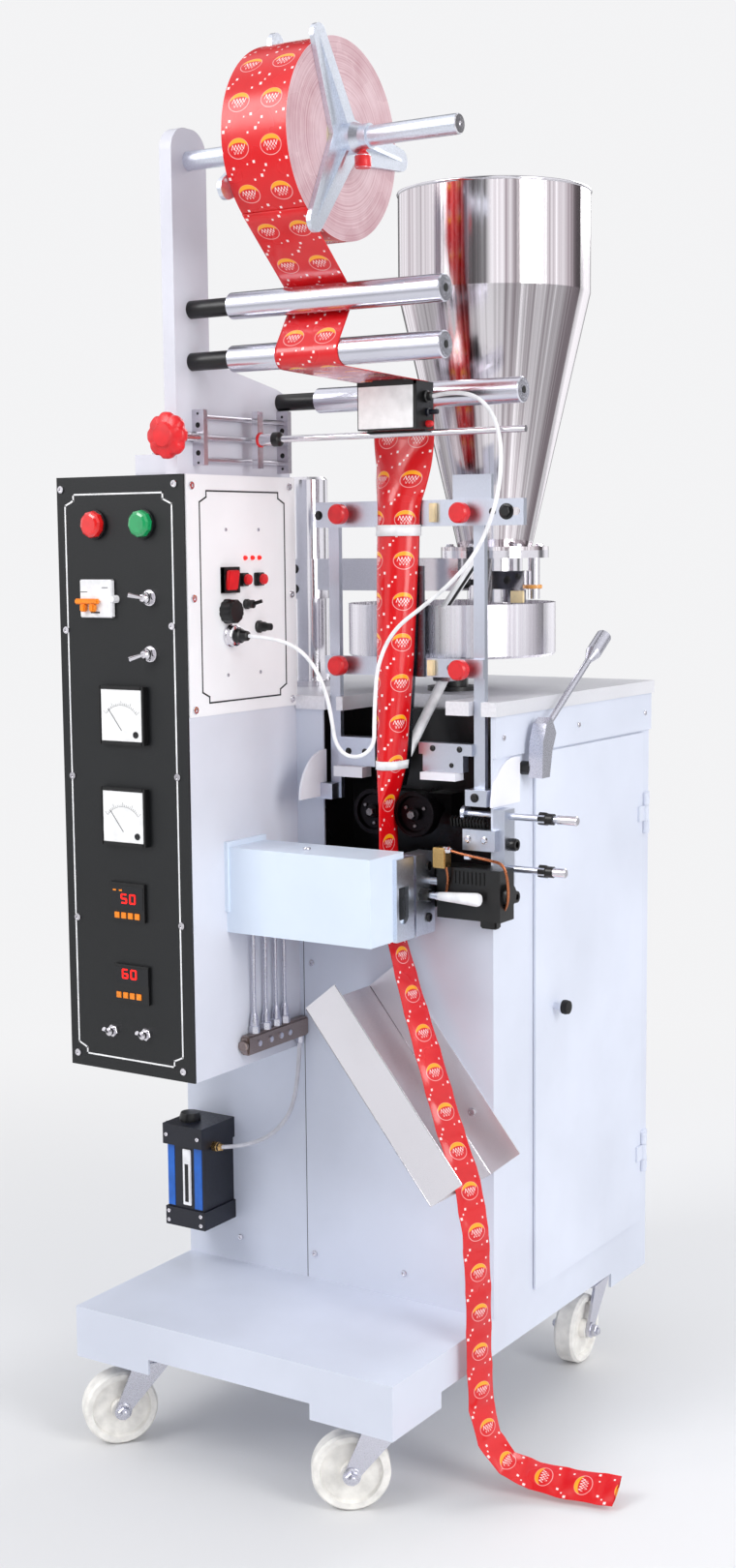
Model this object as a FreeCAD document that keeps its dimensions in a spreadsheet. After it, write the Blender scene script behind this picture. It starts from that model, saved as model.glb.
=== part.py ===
import FreeCAD, Part
import Sketcher
import math
import os
import re

# Form fill seal machine: a vertical pouch packer on a castered platform.
# Millimetres, +Z up. In machine coordinates X runs to the right from the platform's
# centre line, Y runs back from its front edge and Z up from the floor.
# originX and originY carry every piece to the model's own origin on the floor.

V = FreeCAD.Vector
doc = FreeCAD.newDocument("form_fill_seal_machine")
sheet = doc.addObject("Spreadsheet::Sheet", "Sizes")

SIZES = [
    # origin on the floor, in machine coordinates
    ("originX", 93.4), ("originY", 323.4),
    # castered platform: folded sheet tray
    ("platWidth", 500), ("platDepth", 713), ("platTop", 195), ("platSkirt", 70), ("platSheet", 4),
    ("notchInset", 122), ("notchRise", 21), ("sideNotchInset", 115),
    # casters
    ("wheelRad", 50), ("wheelWide", 30), ("casterInset", 62), ("casterBack", 70), ("casterTrail", 38),
    ("axleRad", 6), ("forkSheet", 4), ("crownLow", 108), ("plateLow", 125), ("casterPlate", 66),
    ("forkRear", 26), ("forkAhead", 24), ("forkEye", 11), ("raceRad", 22),
    ("wheelHub", 14), ("wheelDish", 6),
    # cabinet of bent sheet
    ("cabFront", 250), ("cabTop", 986), ("wall", 3), ("topThick", 18), ("topOver", 4),
    ("bayLeft", -9), ("bayStep", 128), ("bayLow", 735), ("bayFall", 190),
    ("bayBack", 330), ("bayPlate", 8),
    ("topNotch", 90), ("topNotchWide", 158), ("topNotchDeep", 91), ("fasciaGap", 3),
    ("doorFront", 357), ("doorRear", 27), ("doorLow", 201), ("doorTop", 930), ("doorLap", 6),
    ("doorSkin", 3), ("doorStand", 1), ("doorLip", 18), ("hingeRad", 5), ("hingePin", 2.5),
    ("hingeHigh", 783), ("hingeLow", 276), ("knuckle", 18), ("knuckleStep", 41),
    ("knobInset", 55), ("knobHigh", 582), ("knobRad", 9),
    # control box and its two instrument plates
    ("ctrlOver", 7), ("ctrlWide", 205), ("ctrlFront", 17), ("ctrlLow", 524), ("ctrlTop", 1292),
    ("panelThick", 3), ("photoLow", 991), ("photoThick", 2),
    # reel stand
    ("standInset", 6), ("standThick", 18), ("standFront", 11), ("standWide", 69), ("standTop", 1708),
    ("standRound", 28), ("footWide", 53), ("footHigh", 25), ("footLong", 230),
    ("reelY", 45), ("reelZ", 1669.5), ("reelRad", 114.5), ("reelWide", 90), ("reelShaft", 11.5),
    ("reelFree", 117), ("spiderReach", 132), ("spiderThick", 6), ("spiderRib", 8), ("armRoot", 27),
    ("armTip", 13), ("hubRad", 18), ("collarLong", 20), ("clampRad", 14.5), ("runFit", 0.1),
    # guide rollers
    ("rollRad", 16), ("rollGap", 64), ("rollLong", 297), ("spindleRad", 8), ("collarRad", 11),
    ("guideY", 45), ("guideZa", 1492), ("guideZb", 1429), ("guideYc", 230), ("guideZc", 1389),
    # photo sensor and its screw adjuster
    ("adjFront", 42), ("adjBack", 230), ("adjZ", 1337), ("adjPlate", 8),
    ("adjReach", 18), ("slideY", 148),
    ("handRad", 28), ("handWide", 18), ("handFront", 38),
    ("sensorRodRad", 4), ("sensorRodLong", 383), ("sensorShift", 16), ("sensorWide", 84),
    ("sensorFront", 127),
    ("sensorDeep", 40), ("sensorLow", 1341.3), ("sensorHigh", 57), ("glandLong", 10),
    # hopper
    ("hopShift", 43), ("hopY", 420), ("hopRad", 127), ("hopTop", 1660),
    ("hopBreak", 1530), ("hopNeck", 1194),
    ("hopNeckRad", 46), ("hopSheet", 2), ("hopFlange", 72), ("flangeThick", 10),
    ("spoutRad", 34), ("spoutLow", 1104),
    ("gateLow", 1143), ("gateHigh", 24), ("gateWide", 46), ("gatePostRad", 8),
    ("postInset", 104), ("postRad", 28), ("postTop", 1299), ("postFoot", 40),
    ("clampLow", 1128), ("clampTop", 1184),
    ("postClamp", 35), ("armLow", 1140), ("armDeep", 40),
    # filler pan
    ("panShift", 24), ("panY", 420), ("panRad", 141), ("panLow", 1053),
    ("panTop", 1124), ("panSheet", 2.5),
    ("panFloor", 4), ("panShaft", 10), ("panBearing", 22), ("panFlange", 34),
    # film former and its frame
    ("filmInset", 135), ("filmWide", 90), ("filmThick", 0.8), ("filmGap", 0.4),
    ("webShift", 8), ("nipRad", 1.3),
    ("nipGap", 0.3),
    ("barY", 258), ("barThick", 8), ("barWide", 16), ("frameLeft", 109),
    ("frameRight", 111), ("frameLow", 868),
    ("frameTop", 1226), ("crossHigh", 33), ("crossLeft", 132), ("crossRight", 179), ("guideLow", 1034),
    ("guideHigh", 24), ("formTop", 1258), ("formLow", 892), ("formSheet", 1.5),
    ("railIn", 23), ("railWide", 13),
    ("railTop", 1176), ("formKnob", 13),
    # draw wheels
    ("drawRad", 29.6), ("drawFront", 226), ("drawWide", 20), ("drawRise", 62), ("drawShaft", 8),
    ("drawDish", 22),
    # cross seal jaws
    ("coverRight", 168), ("coverFront", 88), ("coverBack", 166), ("coverLow", 708), ("coverTop", 819),
    ("flangeWide", 5), ("jawLow", 758), ("jawHigh", 20), ("jawStand", 20),
    ("jawDeep", 58), ("jawNip", 0.2),
    ("carrierLow", 707), ("carrierHigh", 105), ("carrierThick", 24), ("carrierDeep", 46),
    ("jawTravel", 8),
    ("endPlate", 6), ("driveLow", 730), ("driveHigh", 66), ("driveDeep", 36),
    ("driveLong", 92), ("handleRad", 4),
    # side bar with its adjusting screws
    ("sideBarThick", 17), ("sideBarDeep", 26), ("sideBarLow", 749), ("sideBarHigh", 119),
    ("screwRad", 4.5),
    ("screwHigh", 859), ("screwLow", 792), ("screwReach", 112), ("screwShort", 96),
    ("nutRad", 8.5), ("nutLong", 9),
    # chute
    ("chuteFront", 100), ("chuteX", 105), ("chuteZ", 654), ("chuteLong", 294), ("chuteAngle", 51.2),
    ("chuteWall", 57), ("chuteSheet", 2),
    # pouches
    ("pouchThick", 3),
    # lubricator, its manifold and pipes
    ("oilInset", 48), ("oilFront", 178), ("oilHalf", 34), ("oilLow", 259),
    ("oilGlass", 285), ("oilHead", 376),
    ("oilTop", 405), ("fittingRad", 6), ("fittingLong", 10), ("pipeRad", 2.5), ("lineRad", 3),
    ("manifoldFront", 111), ("manifoldLow", 540), ("manifoldHigh", 26), ("manifoldWide", 14),
    # clutch lever
    ("leverY", 328), ("leverDrop", 16), ("leverPivot", 9), ("leverStand", 12),
    ("leverHub", 20), ("leverSlope", 33.5),
    ("stemRad", 4.5), ("stemLong", 144), ("gripRad", 10.5), ("gripTaper", 18), ("gripLong", 38),
    # instruments
    ("meterDeep", 6), ("lampRad", 19), ("lampDeep", 13), ("displayWide", 56), ("displayHigh", 50),
]
# Places that follow from the driving sizes
PLACES = {
    "doorBack": "(platDepth - doorRear)",
    "ctrlLeft": "(-platWidth / 2 - ctrlOver)",
    "ctrlRight": "(ctrlLeft + ctrlWide)",
    "panelFace": "(ctrlFront - panelThick)",
    "photoFace": "(ctrlRight + photoThick)",
    "standRight": "(ctrlRight - standInset)",
    "filmX": "(platWidth / 2 - filmInset)",
    "webX": "(filmX + webShift)",
    "reelLeft": "(webX - reelWide / 2)",
    "reelRight": "(webX + reelWide / 2 + 0.3)",
    "reelEnd": "(reelRight + hubRad + collarLong + reelFree)",
    "rollStart": "(standRight + rollGap)",
    "rollEnd": "(rollStart + rollLong)",
    "sensorX": "(filmX + sensorShift)",
    "hopX": "(filmX + hopShift)",
    "panX": "(filmX - panShift)",
    "postX": "(-platWidth / 2 + postInset)",
    "oilX": "(-platWidth / 2 + oilInset)",
    "drawGap": "(2 * nipRad + 2 * nipGap)",
    "bayMid": "(cabTop - bayFall)",
    "leverZ": "(doorTop - leverDrop)",
    "drawZ": "(bayMid + drawRise)",
    "doorFace": "(platWidth / 2 + doorStand + doorSkin)",
    "screwY": "(cabFront + sideBarDeep / 2)",
    "carrierX": "(coverRight - carrierThick + endPlate)",
}
for row, (alias, value) in enumerate(SIZES, start=1):
    sheet.set("A%d" % row, alias)
    sheet.set("B%d" % row, str(value))
    sheet.setAlias("B%d" % row, alias)
doc.recompute()
NAMES = {alias for alias, value in SIZES}
NODES = []
HOME = {}


def spelled(text):
    """A formula with every place that is worked out written in driving sizes."""
    words = re.findall(r"[A-Za-z]\w*", text)
    if not any(word in PLACES for word in words):
        return text
    return spelled(re.sub(r"[A-Za-z]\w*", lambda m: PLACES.get(m.group(0), m.group(0)), text))


def expr(text):
    """Point the words of a formula that are named sizes at the sheet."""
    return re.sub(r"[A-Za-z]\w*", lambda m: "Sizes." + m.group(0) if m.group(0) in NAMES else m.group(0),
                  spelled(str(text)))


def value(text):
    """The present value of a formula in named sizes."""
    if not isinstance(text, str):
        return float(text)
    sheet.set("D1", "=" + spelled(text))
    sheet.recomputeCells("D1")
    return float(FreeCAD.Units.Quantity(str(sheet.get("D1"))).Value)


def size(name):
    return value(name) if name in PLACES else float(getattr(sheet, name))


def bind(obj, prop, text):
    if isinstance(text, (int, float)):
        text = repr(text)
    obj.setExpression(prop, expr(text))


def put(obj, x, y, z):
    HOME[obj.Name] = (x, y, z)
    for prop, text in zip("xyz", (x, y, z)):
        bind(obj, "Placement.Base." + prop, text)
    return obj


def box(x, y, z, dx, dy, dz):
    obj = doc.addObject("Part::Box", "Block")
    bind(obj, "Length", dx)
    bind(obj, "Width", dy)
    bind(obj, "Height", dz)
    return put(obj, x, y, z)


TURN = {
    "X": FreeCAD.Rotation(V(0, 1, 0), 90),
    "Y": FreeCAD.Rotation(V(1, 0, 0), -90),
    "Z": FreeCAD.Rotation(),
}


def rod(axis, x, y, z, radius, length):
    obj = doc.addObject("Part::Cylinder", "Rod")
    bind(obj, "Radius", radius)
    bind(obj, "Height", length)
    obj.Placement = FreeCAD.Placement(V(), TURN[axis])
    return put(obj, x, y, z)


def cone(axis, x, y, z, first, second, length):
    obj = doc.addObject("Part::Cone", "Taper")
    bind(obj, "Radius1", first)
    bind(obj, "Radius2", second)
    bind(obj, "Height", length)
    obj.Placement = FreeCAD.Placement(V(), TURN[axis])
    return put(obj, x, y, z)


def fuse(*parts):
    obj = doc.addObject("Part::MultiFuse", "Joined")
    obj.Shapes = list(parts)
    obj.Refine = True
    return obj


def group(*parts):
    obj = doc.addObject("Part::Compound", "Set")
    obj.Links = list(parts)
    return obj


def nut(x, y, z, radius, length):
    """A hexagon nut on an X axis."""
    obj = doc.addObject("Part::Prism", "Nut")
    bind(obj, "Circumradius", radius)
    bind(obj, "Height", length)
    obj.Placement = FreeCAD.Placement(V(), TURN["X"])
    return put(obj, x, y, z)


def common(first, second):
    obj = doc.addObject("Part::Common", "Shared")
    obj.Base = first
    obj.Tool = second
    return obj


def cut(base, *tools):
    obj = doc.addObject("Part::Cut", "Trimmed")
    obj.Base = base
    obj.Tool = tools[0] if len(tools) == 1 else fuse(*tools)
    return obj


def sketch(body, plane, loops):
    """A sketch whose every corner is held to the sheet."""
    sk = body.newObject("Sketcher::SketchObject", "Outline")
    flat = [f for f in body.Origin.OriginFeatures if f.Role == plane + "_Plane"][0]
    sk.AttachmentSupport = [(flat, "")]
    sk.MapMode = "FlatFace"
    for loop in loops:
        if loop[0] == "circle":
            name, u, v, r = loop
            g = sk.addGeometry(Part.Circle(V(value(u), value(v), 0), V(0, 0, 1), value(r)), False)
            for kind, text in (("DistanceX", u), ("DistanceY", v)):
                k = sk.addConstraint(Sketcher.Constraint(kind, -1, 1, g, 3, value(text)))
                sk.setExpression("Constraints[%d]" % k, expr(text))
            k = sk.addConstraint(Sketcher.Constraint("Radius", g, value(r)))
            sk.setExpression("Constraints[%d]" % k, expr(r))
            continue
        pts = [V(value(u), value(v), 0) for u, v in loop]
        ring = zip(pts, pts[1:] + pts[:1])
        lines = [sk.addGeometry(Part.LineSegment(a, b), False) for a, b in ring]
        for i, g in enumerate(lines):
            sk.addConstraint(Sketcher.Constraint("Coincident", g, 2, lines[(i + 1) % len(lines)], 1))
        for g, (u, v), p in zip(lines, loop, pts):
            for kind, text, number in (("DistanceX", u, p.x), ("DistanceY", v, p.y)):
                k = sk.addConstraint(Sketcher.Constraint(kind, -1, 1, g, 1, number))
                sk.setExpression("Constraints[%d]" % k, expr(text))
    return sk


def padded(plane, loops, length, at=("0", "0", "0"), back=False):
    """A body made by one pad of a sketch."""
    body = doc.addObject("PartDesign::Body", "Padded")
    pad = body.newObject("PartDesign::Pad", "Pad")
    pad.Profile = sketch(body, plane, loops)
    bind(pad, "Length", length)
    pad.Reversed = back
    put(body, *at)
    doc.recompute()
    return body


def turned(plane, loop, axis, at=("0", "0", "0")):
    """A body of revolution: axis is H_Axis or V_Axis of the sketch."""
    body = doc.addObject("PartDesign::Body", "Turned")
    sk = sketch(body, plane, [loop])
    rev = body.newObject("PartDesign::Revolution", "Revolution")
    rev.Profile = sk
    rev.ReferenceAxis = (sk, [axis])
    rev.Angle = 360
    put(body, *at)
    doc.recompute()
    return body


def rounded(body, radius, pick):
    """Fillet the edges of a body that pick chooses."""
    tip = body.Tip
    names = ["Edge%d" % (i + 1) for i, e in enumerate(tip.Shape.Edges) if pick(e)]
    fil = body.newObject("PartDesign::Fillet", "Fillet")
    fil.Base = (tip, names)
    bind(fil, "Radius", radius)
    body.Tip = fil
    doc.recompute()
    return body


def made(shape):
    """A feature whose shape is worked out here from the sheet."""
    obj = doc.addObject("Part::Feature", "Made")
    obj.Shape = shape
    HOME[obj.Name] = None
    return obj


def node(name, obj):
    """Name a sub-part and carry it to the model's origin."""
    obj.Label = name
    home = HOME.get(obj.Name, ("0", "0", "0"))
    if home is None:
        obj.Placement = FreeCAD.Placement(V(-size("originX"), -size("originY"), 0), FreeCAD.Rotation())
    else:
        bind(obj, "Placement.Base.x", "(%s) - originX" % home[0])
        bind(obj, "Placement.Base.y", "(%s) - originY" % home[1])
        bind(obj, "Placement.Base.z", home[2])
    NODES.append((name, obj))
    return obj


def wire_of(points):
    return Part.makePolygon(list(points) + [points[0]])


# Platform
skirt = "platTop - platSkirt"
tray = cut(
    box("-platWidth / 2", "0", skirt, "platWidth", "platDepth", "platSkirt"),
    box("-platWidth / 2 + platSheet", "platSheet", skirt + " - 1", "platWidth - 2 * platSheet",
        "platDepth - 2 * platSheet", "platSkirt + 1 - platSheet"),
    box("-platWidth / 2 + notchInset", "-1", skirt + " - 1", "platWidth - 2 * notchInset", "platDepth + 2",
        "notchRise + 1"),
    box("-platWidth / 2 - 1", "sideNotchInset", skirt + " - 1", "platWidth + 2",
        "platDepth - 2 * sideNotchInset", "notchRise + 1"),
)
corners = []
for side in ("-1", "1"):
    for row in ("casterBack", "platDepth - casterBack"):
        cx = "%s * (platWidth / 2 - casterInset)" % side
        corners.append(box(cx + " - casterPlate / 2", row + " - casterPlate / 2", "plateLow", "casterPlate",
                           "casterPlate", "platSheet"))
        corners.append(box(cx + " - platSheet / 2", row + " - casterPlate / 2", "plateLow + platSheet",
                           "platSheet", "casterPlate", "platTop - platSheet - plateLow - platSheet"))
node("platform", fuse(tray, *corners))


# Casters
AIM = {"front_left": 230.0, "front_right": 216.0, "back_left": 250.0, "back_right": 273.0}
for name, side, row in (("front_left", "-1", "casterBack"), ("front_right", "1", "casterBack"),
                        ("back_left", "-1", "platDepth - casterBack"),
                        ("back_right", "1", "platDepth - casterBack")):
    cx = value("%s * (platWidth / 2 - casterInset)" % side)
    cy = value(row)
    aim = math.radians(AIM[name])
    ahead = V(math.cos(aim), math.sin(aim), 0)
    across = V(-math.sin(aim), math.cos(aim), 0)
    hub = V(cx, cy, size("wheelRad")) + ahead * size("casterTrail")
    gap = size("wheelWide") / 2 + 5
    sheetT = size("forkSheet")
    crown = size("crownLow")
    base = V(cx, cy, 0)
    cheeks = []
    for s in (-1, 1):
        inner = across * (s * gap)
        foot = hub + inner
        outline = []
        for a in (0, -45, -90, -135, 180):
            a = math.radians(a)
            outline.append(foot + (ahead * math.cos(a) + V(0, 0, math.sin(a))) * size("forkEye"))
        top_back = base + inner - ahead * size("forkRear") + V(0, 0, crown)
        top_front = base + inner + ahead * size("forkAhead") + V(0, 0, crown)
        outline = outline + [top_back, top_front]
        face = Part.Face(wire_of(outline))
        cheeks.append(face.extrude(across * (s * sheetT)))
    crownplate = Part.makeBox(size("forkRear") + size("forkAhead"), 2 * gap + 2 * sheetT, sheetT)
    crownplate.translate(V(-size("forkRear"), -gap - sheetT, crown))
    crownplate.rotate(V(0, 0, 0), V(0, 0, 1), AIM[name])
    crownplate.translate(base)
    race = Part.makeCylinder(size("raceRad"), size("plateLow") - 0.3 - crown - sheetT,
                             base + V(0, 0, crown + sheetT))
    axle = Part.makeCylinder(size("axleRad"), 2 * gap + 2 * sheetT + 8,
                             hub - across * (gap + sheetT + 4), across)
    fork = crownplate.fuse(cheeks + [race, axle]).removeSplitter()
    node("caster_fork_" + name, made(fork))
    w = size("wheelWide") / 2
    R = size("wheelRad")
    b = size("axleRad") + size("runFit")
    hr = size("wheelHub")
    d = size("wheelDish")
    prof = [(b, -w - 4), (hr, -w - 4), (hr, -w + d), (R - 12, -w + d), (R - 10, -w), (R - 3, -w), (R, -w + 4),
            (R, w - 4), (R - 3, w), (R - 10, w), (R - 12, w - d), (hr, w - d), (hr, w + 4), (b, w + 4)]
    ring = Part.Face(wire_of([hub + ahead * x + across * z for x, z in prof])).revolve(hub, across, 360)
    node("caster_wheel_" + name, made(ring))


# Cabinet
node("front_wall", padded("XZ", [[
    ("-platWidth / 2", "platTop"), ("platWidth / 2 - wall", "platTop"), ("platWidth / 2 - wall", "bayLow"),
    ("bayStep", "bayLow"), ("bayStep", "bayMid"), ("bayLeft", "bayMid"), ("bayLeft", "cabTop"),
    ("-platWidth / 2", "cabTop")]], "wall", at=("0", "cabFront", "0"), back=True))
node("rear_walls", padded("XY", [[
    ("-platWidth / 2", "cabFront + wall"), ("-platWidth / 2 + wall", "cabFront + wall"),
    ("-platWidth / 2 + wall", "platDepth - wall"), ("platWidth / 2 - wall", "platDepth - wall"),
    ("platWidth / 2 - wall", "platDepth"), ("-platWidth / 2", "platDepth")]],
    "cabTop - platTop", at=("0", "0", "platTop")))
side_sheet = padded("YZ", [
    [("cabFront", "platTop"), ("platDepth", "platTop"), ("platDepth", "cabTop"), ("cabFront", "cabTop")],
    [("doorFront + doorLap", "doorLow + doorLap"), ("doorBack - doorLap", "doorLow + doorLap"),
     ("doorBack - doorLap", "doorTop - doorLap"), ("doorFront + doorLap", "doorTop - doorLap")],
    ("circle", "screwY", "screwHigh", "screwRad + 1")],
    "wall", at=("platWidth / 2 - wall", "0", "0"))
fascia = box("platWidth / 2", "cabFront", "doorTop + fasciaGap", "doorSkin + doorStand", "platDepth - cabFront",
             "cabTop - doorTop - fasciaGap")
knuckles = []
hinge_y = "doorBack + hingeRad"
hinge_x = "platWidth / 2 + hingeRad + 1"
for z in ("hingeHigh", "hingeLow"):
    knuckles.append(rod("Z", hinge_x, hinge_y, z, "hingeRad", "knuckle"))
    knuckles.append(rod("Z", hinge_x, hinge_y, z + " + knuckleStep", "hingeRad", "knuckle"))
    knuckles.append(rod("Z", hinge_x, hinge_y, z, "hingePin", "knuckleStep + knuckle"))
    for up in ("0", "knuckleStep"):
        knuckles.append(box("platWidth / 2", hinge_y, z + " + " + up, "4", "18", "knuckle"))
node("right_wall", fuse(side_sheet, fascia, *knuckles))
notches = [
    box("filmX - topNotch", "cabFront - topOver - 1", "cabTop - 1", "topNotchWide", "topNotchDeep + topOver + 1",
        "topThick + 2"),
    box("-platWidth / 2 - topOver - 1", "cabFront - topOver - 1", "cabTop - 1",
        "photoFace + platWidth / 2 + topOver + 1", "topOver + 1", "topThick + 2")]
for x in ("filmX - frameLeft", "filmX + frameRight"):
    notches.append(box(x + " - barWide / 2 - 1", "cabFront - topOver - 1", "cabTop - 1", "barWide + 2",
                       "barY + barThick - cabFront + topOver + 2", "topThick + 2"))
node("top_plate", cut(
    box("-platWidth / 2 - topOver", "cabFront - topOver", "cabTop", "platWidth + 2 * topOver + doorSkin",
        "platDepth - cabFront + 2 * topOver", "topThick"), *notches))
bay_wide = "platWidth / 2 - wall - bayLeft + wall"
bay = fuse(
    box("bayLeft - wall", "bayBack - bayPlate", "bayLow - wall", bay_wide, "bayPlate",
        "cabTop - bayLow + wall"),
    box("bayLeft - wall", "cabFront + wall", "bayLow - wall", "wall", "bayBack - cabFront - wall",
        "cabTop - bayLow + wall"),
    box("bayLeft - wall", "cabFront + wall", "bayLow - wall", bay_wide, "bayBack - cabFront - wall", "wall"))
shaft_holes = []
bearings = []
for s in ("-1", "1"):
    cx = "filmX + %s * (drawRad + drawGap / 2)" % s
    shaft_holes.append(rod("Y", cx, "bayBack - bayPlate - 40", "drawZ", "drawShaft + runFit", "60"))
    bearings.append(box(cx + " - 18", "bayBack - bayPlate - 30", "drawZ - 20", "36", "30", "40"))
node("mechanism_bay", cut(fuse(bay, *bearings), *shaft_holes))


# Door
door_skin = box("platWidth / 2 + doorStand", "doorFront", "doorLow", "doorSkin", "doorBack - doorFront",
                "doorTop - doorLow")
lips = []
for y in ("doorFront + doorLap + 6", "doorBack - doorLap - 6 - doorSkin"):
    lips.append(box("platWidth / 2 + doorStand - doorLip", y, "doorLow + doorLap + 6", "doorLip", "doorSkin",
                    "doorTop - doorLow - 2 * doorLap - 12"))
knobs = [rod("X", "doorFace", "doorFront + knobInset", "knobHigh", "knobRad - 4", "10"),
         rod("X", "doorFace + 10", "doorFront + knobInset", "knobHigh", "knobRad", "8")]
swing = []
for z in ("hingeHigh", "hingeLow"):
    low = z + " + knuckle + 0.5"
    swing.append(cut(fuse(rod("Z", hinge_x, hinge_y, low, "hingeRad", "knuckleStep - knuckle - 1"),
                          box("doorFace", hinge_y + " - 22", low, "3", "22", "knuckleStep - knuckle - 1")),
                     rod("Z", hinge_x, hinge_y, z, "hingePin + runFit", "knuckleStep + knuckle + 1")))
node("door", fuse(door_skin, *(lips + knobs + swing)))


# Control box
node("control_box", box("ctrlLeft", "ctrlFront", "ctrlLow", "ctrlWide", "cabFront - ctrlFront",
                        "ctrlTop - ctrlLow"))
node("control_panel", box("ctrlLeft", "panelFace", "ctrlLow", "ctrlWide", "panelThick", "ctrlTop - ctrlLow"))
node("photo_panel", box("ctrlRight", "ctrlFront", "photoLow", "photoThick", "cabFront - ctrlFront",
                        "ctrlTop - photoLow"))


# Reel stand and guide rollers
stand = padded("YZ", [[
    ("standFront", "ctrlTop"), ("standFront + 240", "ctrlTop"), ("standFront + 240", "guideZc + 8"),
    ("standFront + 212", "guideZc + 17"), ("standFront + standWide", "guideZc + 43"),
    ("standFront + standWide", "standTop"), ("standFront", "standTop")]], "standThick",
    at=("standRight - standThick", "0", "0"))
stand = rounded(stand, "standRound", lambda e: abs(e.BoundBox.XLength - size("standThick")) < 0.01
                and e.BoundBox.ZMin > size("standTop") - 1)
foot = box("standRight - standThick - footWide", "standFront + 6", "ctrlTop", "footWide", "footLong",
           "footHigh")
node("reel_stand", cut(fuse(stand, foot), rod("X", "standRight - standThick - 1", "reelY", "reelZ",
                                             "reelShaft + runFit", "standThick + 2")))
spindles = []
for y, z in (("guideY", "guideZa"), ("guideY", "guideZb"), ("guideYc", "guideZc")):
    spindles.append(fuse(rod("X", "standRight", y, z, "collarRad", "rollGap - 0.3"),
                         rod("X", "standRight", y, z, "spindleRad", "rollGap + rollLong - 6")))
node("roller_spindles", group(*spindles))
for name, y, z in (("guide_roller_upper", "guideY", "guideZa"), ("guide_roller_lower", "guideY", "guideZb"),
                   ("guide_roller_rear", "guideYc", "guideZc")):
    node(name, cut(rod("X", "rollStart", y, z, "rollRad", "rollLong"),
                   rod("X", "rollStart - 1", y, z, "spindleRad + runFit", "rollLong - 4"),
                   rod("X", "rollEnd - 6", y, z, "3", "8")))


# Reel
def spider(side, phase, outward):
    """Three tapering ribbed arms on a boss: side is the face against the roll, outward is 1 or -1."""
    root, tip = size("armRoot"), size("armTip")
    reach, thick, rib = size("spiderReach"), size("spiderThick"), size("spiderRib")
    centre = V(side, size("reelY"), size("reelZ"))
    shape = Part.makeCylinder(size("hubRad"), size("hubRad"), centre, V(outward, 0, 0))
    for k in range(3):
        a = math.radians(phase + 120 * k)
        along = V(0, math.cos(a), math.sin(a))
        across = V(0, -math.sin(a), math.cos(a))
        end = centre + along * (reach - tip)
        edge = [Part.LineSegment(centre - across * root, end - across * tip).toShape(),
                Part.Arc(end - across * tip, end + along * tip, end + across * tip).toShape(),
                Part.LineSegment(end + across * tip, centre + across * root).toShape(),
                Part.LineSegment(centre + across * root, centre - across * root).toShape()]
        blade = Part.Face(Part.Wire(edge)).extrude(V(outward * thick, 0, 0))
        top = V(outward * (thick + rib), 0, 0)
        near, far = centre - across * 2, end - across * 2
        rib_line = wire_of([near, near + top, far + V(outward * thick, 0, 0), far])
        ridge = Part.Face(rib_line).extrude(across * 4)
        shape = shape.fuse([blade, ridge])
    return shape


shaft_left = "standRight - standThick - 8"
shaft = rod("X", shaft_left, "reelY", "reelZ", "reelShaft", "reelEnd - standRight + standThick + 8")
inner = made(spider(value("reelLeft - 0.3"), 90.0, -1))
outer = made(spider(value("reelRight"), 117.0, 1))
neck = cone("X", "reelRight + hubRad", "reelY", "reelZ", "hubRad", "clampRad", "collarLong / 2")
clamp = rod("X", "reelRight + hubRad + collarLong / 2", "reelY", "reelZ", "clampRad", "collarLong / 2")
clamp_x = "reelRight + hubRad + collarLong * 0.45"
clamp_screw = fuse(rod("Z", clamp_x, "reelY", "reelZ - clampRad - 6", "3", "10"),
                   rod("Z", clamp_x, "reelY", "reelZ - clampRad - 20", "9", "14"))
node("reel_spider", fuse(shaft, inner, outer, neck, clamp, clamp_screw))
node("film_roll", cut(rod("X", "reelLeft", "reelY", "reelZ", "reelRad", "reelWide"),
                      rod("X", "reelLeft - 1", "reelY", "reelZ", "reelShaft + 6", "reelWide + 2")))


# Photo sensor and its adjuster
screw_x = "standRight + adjReach / 2"
node("adjuster_frame", fuse(
    box("standRight", "adjFront", "adjZ - 34", "adjReach", "adjPlate", "68"),
    box("standRight", "adjBack - adjPlate", "adjZ - 40", "adjReach", "adjPlate", "80"),
    rod("Y", screw_x, "adjFront", "adjZ + 25", "3.5", "adjBack - adjFront"),
    rod("Y", screw_x, "adjFront", "adjZ - 27", "3.5", "adjBack - adjFront"),
    rod("Y", screw_x, "adjFront", "adjZ", "4", "adjBack - adjFront")))
node("adjuster_wheel", fuse(
    rod("Y", screw_x, "standFront - handFront + handWide", "adjZ", "7",
        "adjFront - standFront + handFront - handWide"),
    rod("Y", screw_x, "standFront - handFront", "adjZ", "handRad", "handWide")))
carriage = "standRight + adjReach + 0.3"
node("sensor_carriage", fuse(
    box(carriage, "slideY - 6", "adjZ - 36", "9", "12", "72"),
    rod("X", carriage + " + 9", "slideY", "adjZ", "8", "22"),
    rod("X", carriage + " + 9", "slideY", "adjZ", "sensorRodRad", "sensorRodLong")))
node("sensor_box", fuse(
    box("sensorX", "sensorFront", "sensorLow", "sensorWide", "sensorDeep", "sensorHigh"),
    rod("X", "sensorX + sensorWide", "sensorFront + 20", "sensorLow + sensorHigh - 18", "5", "glandLong")))


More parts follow.
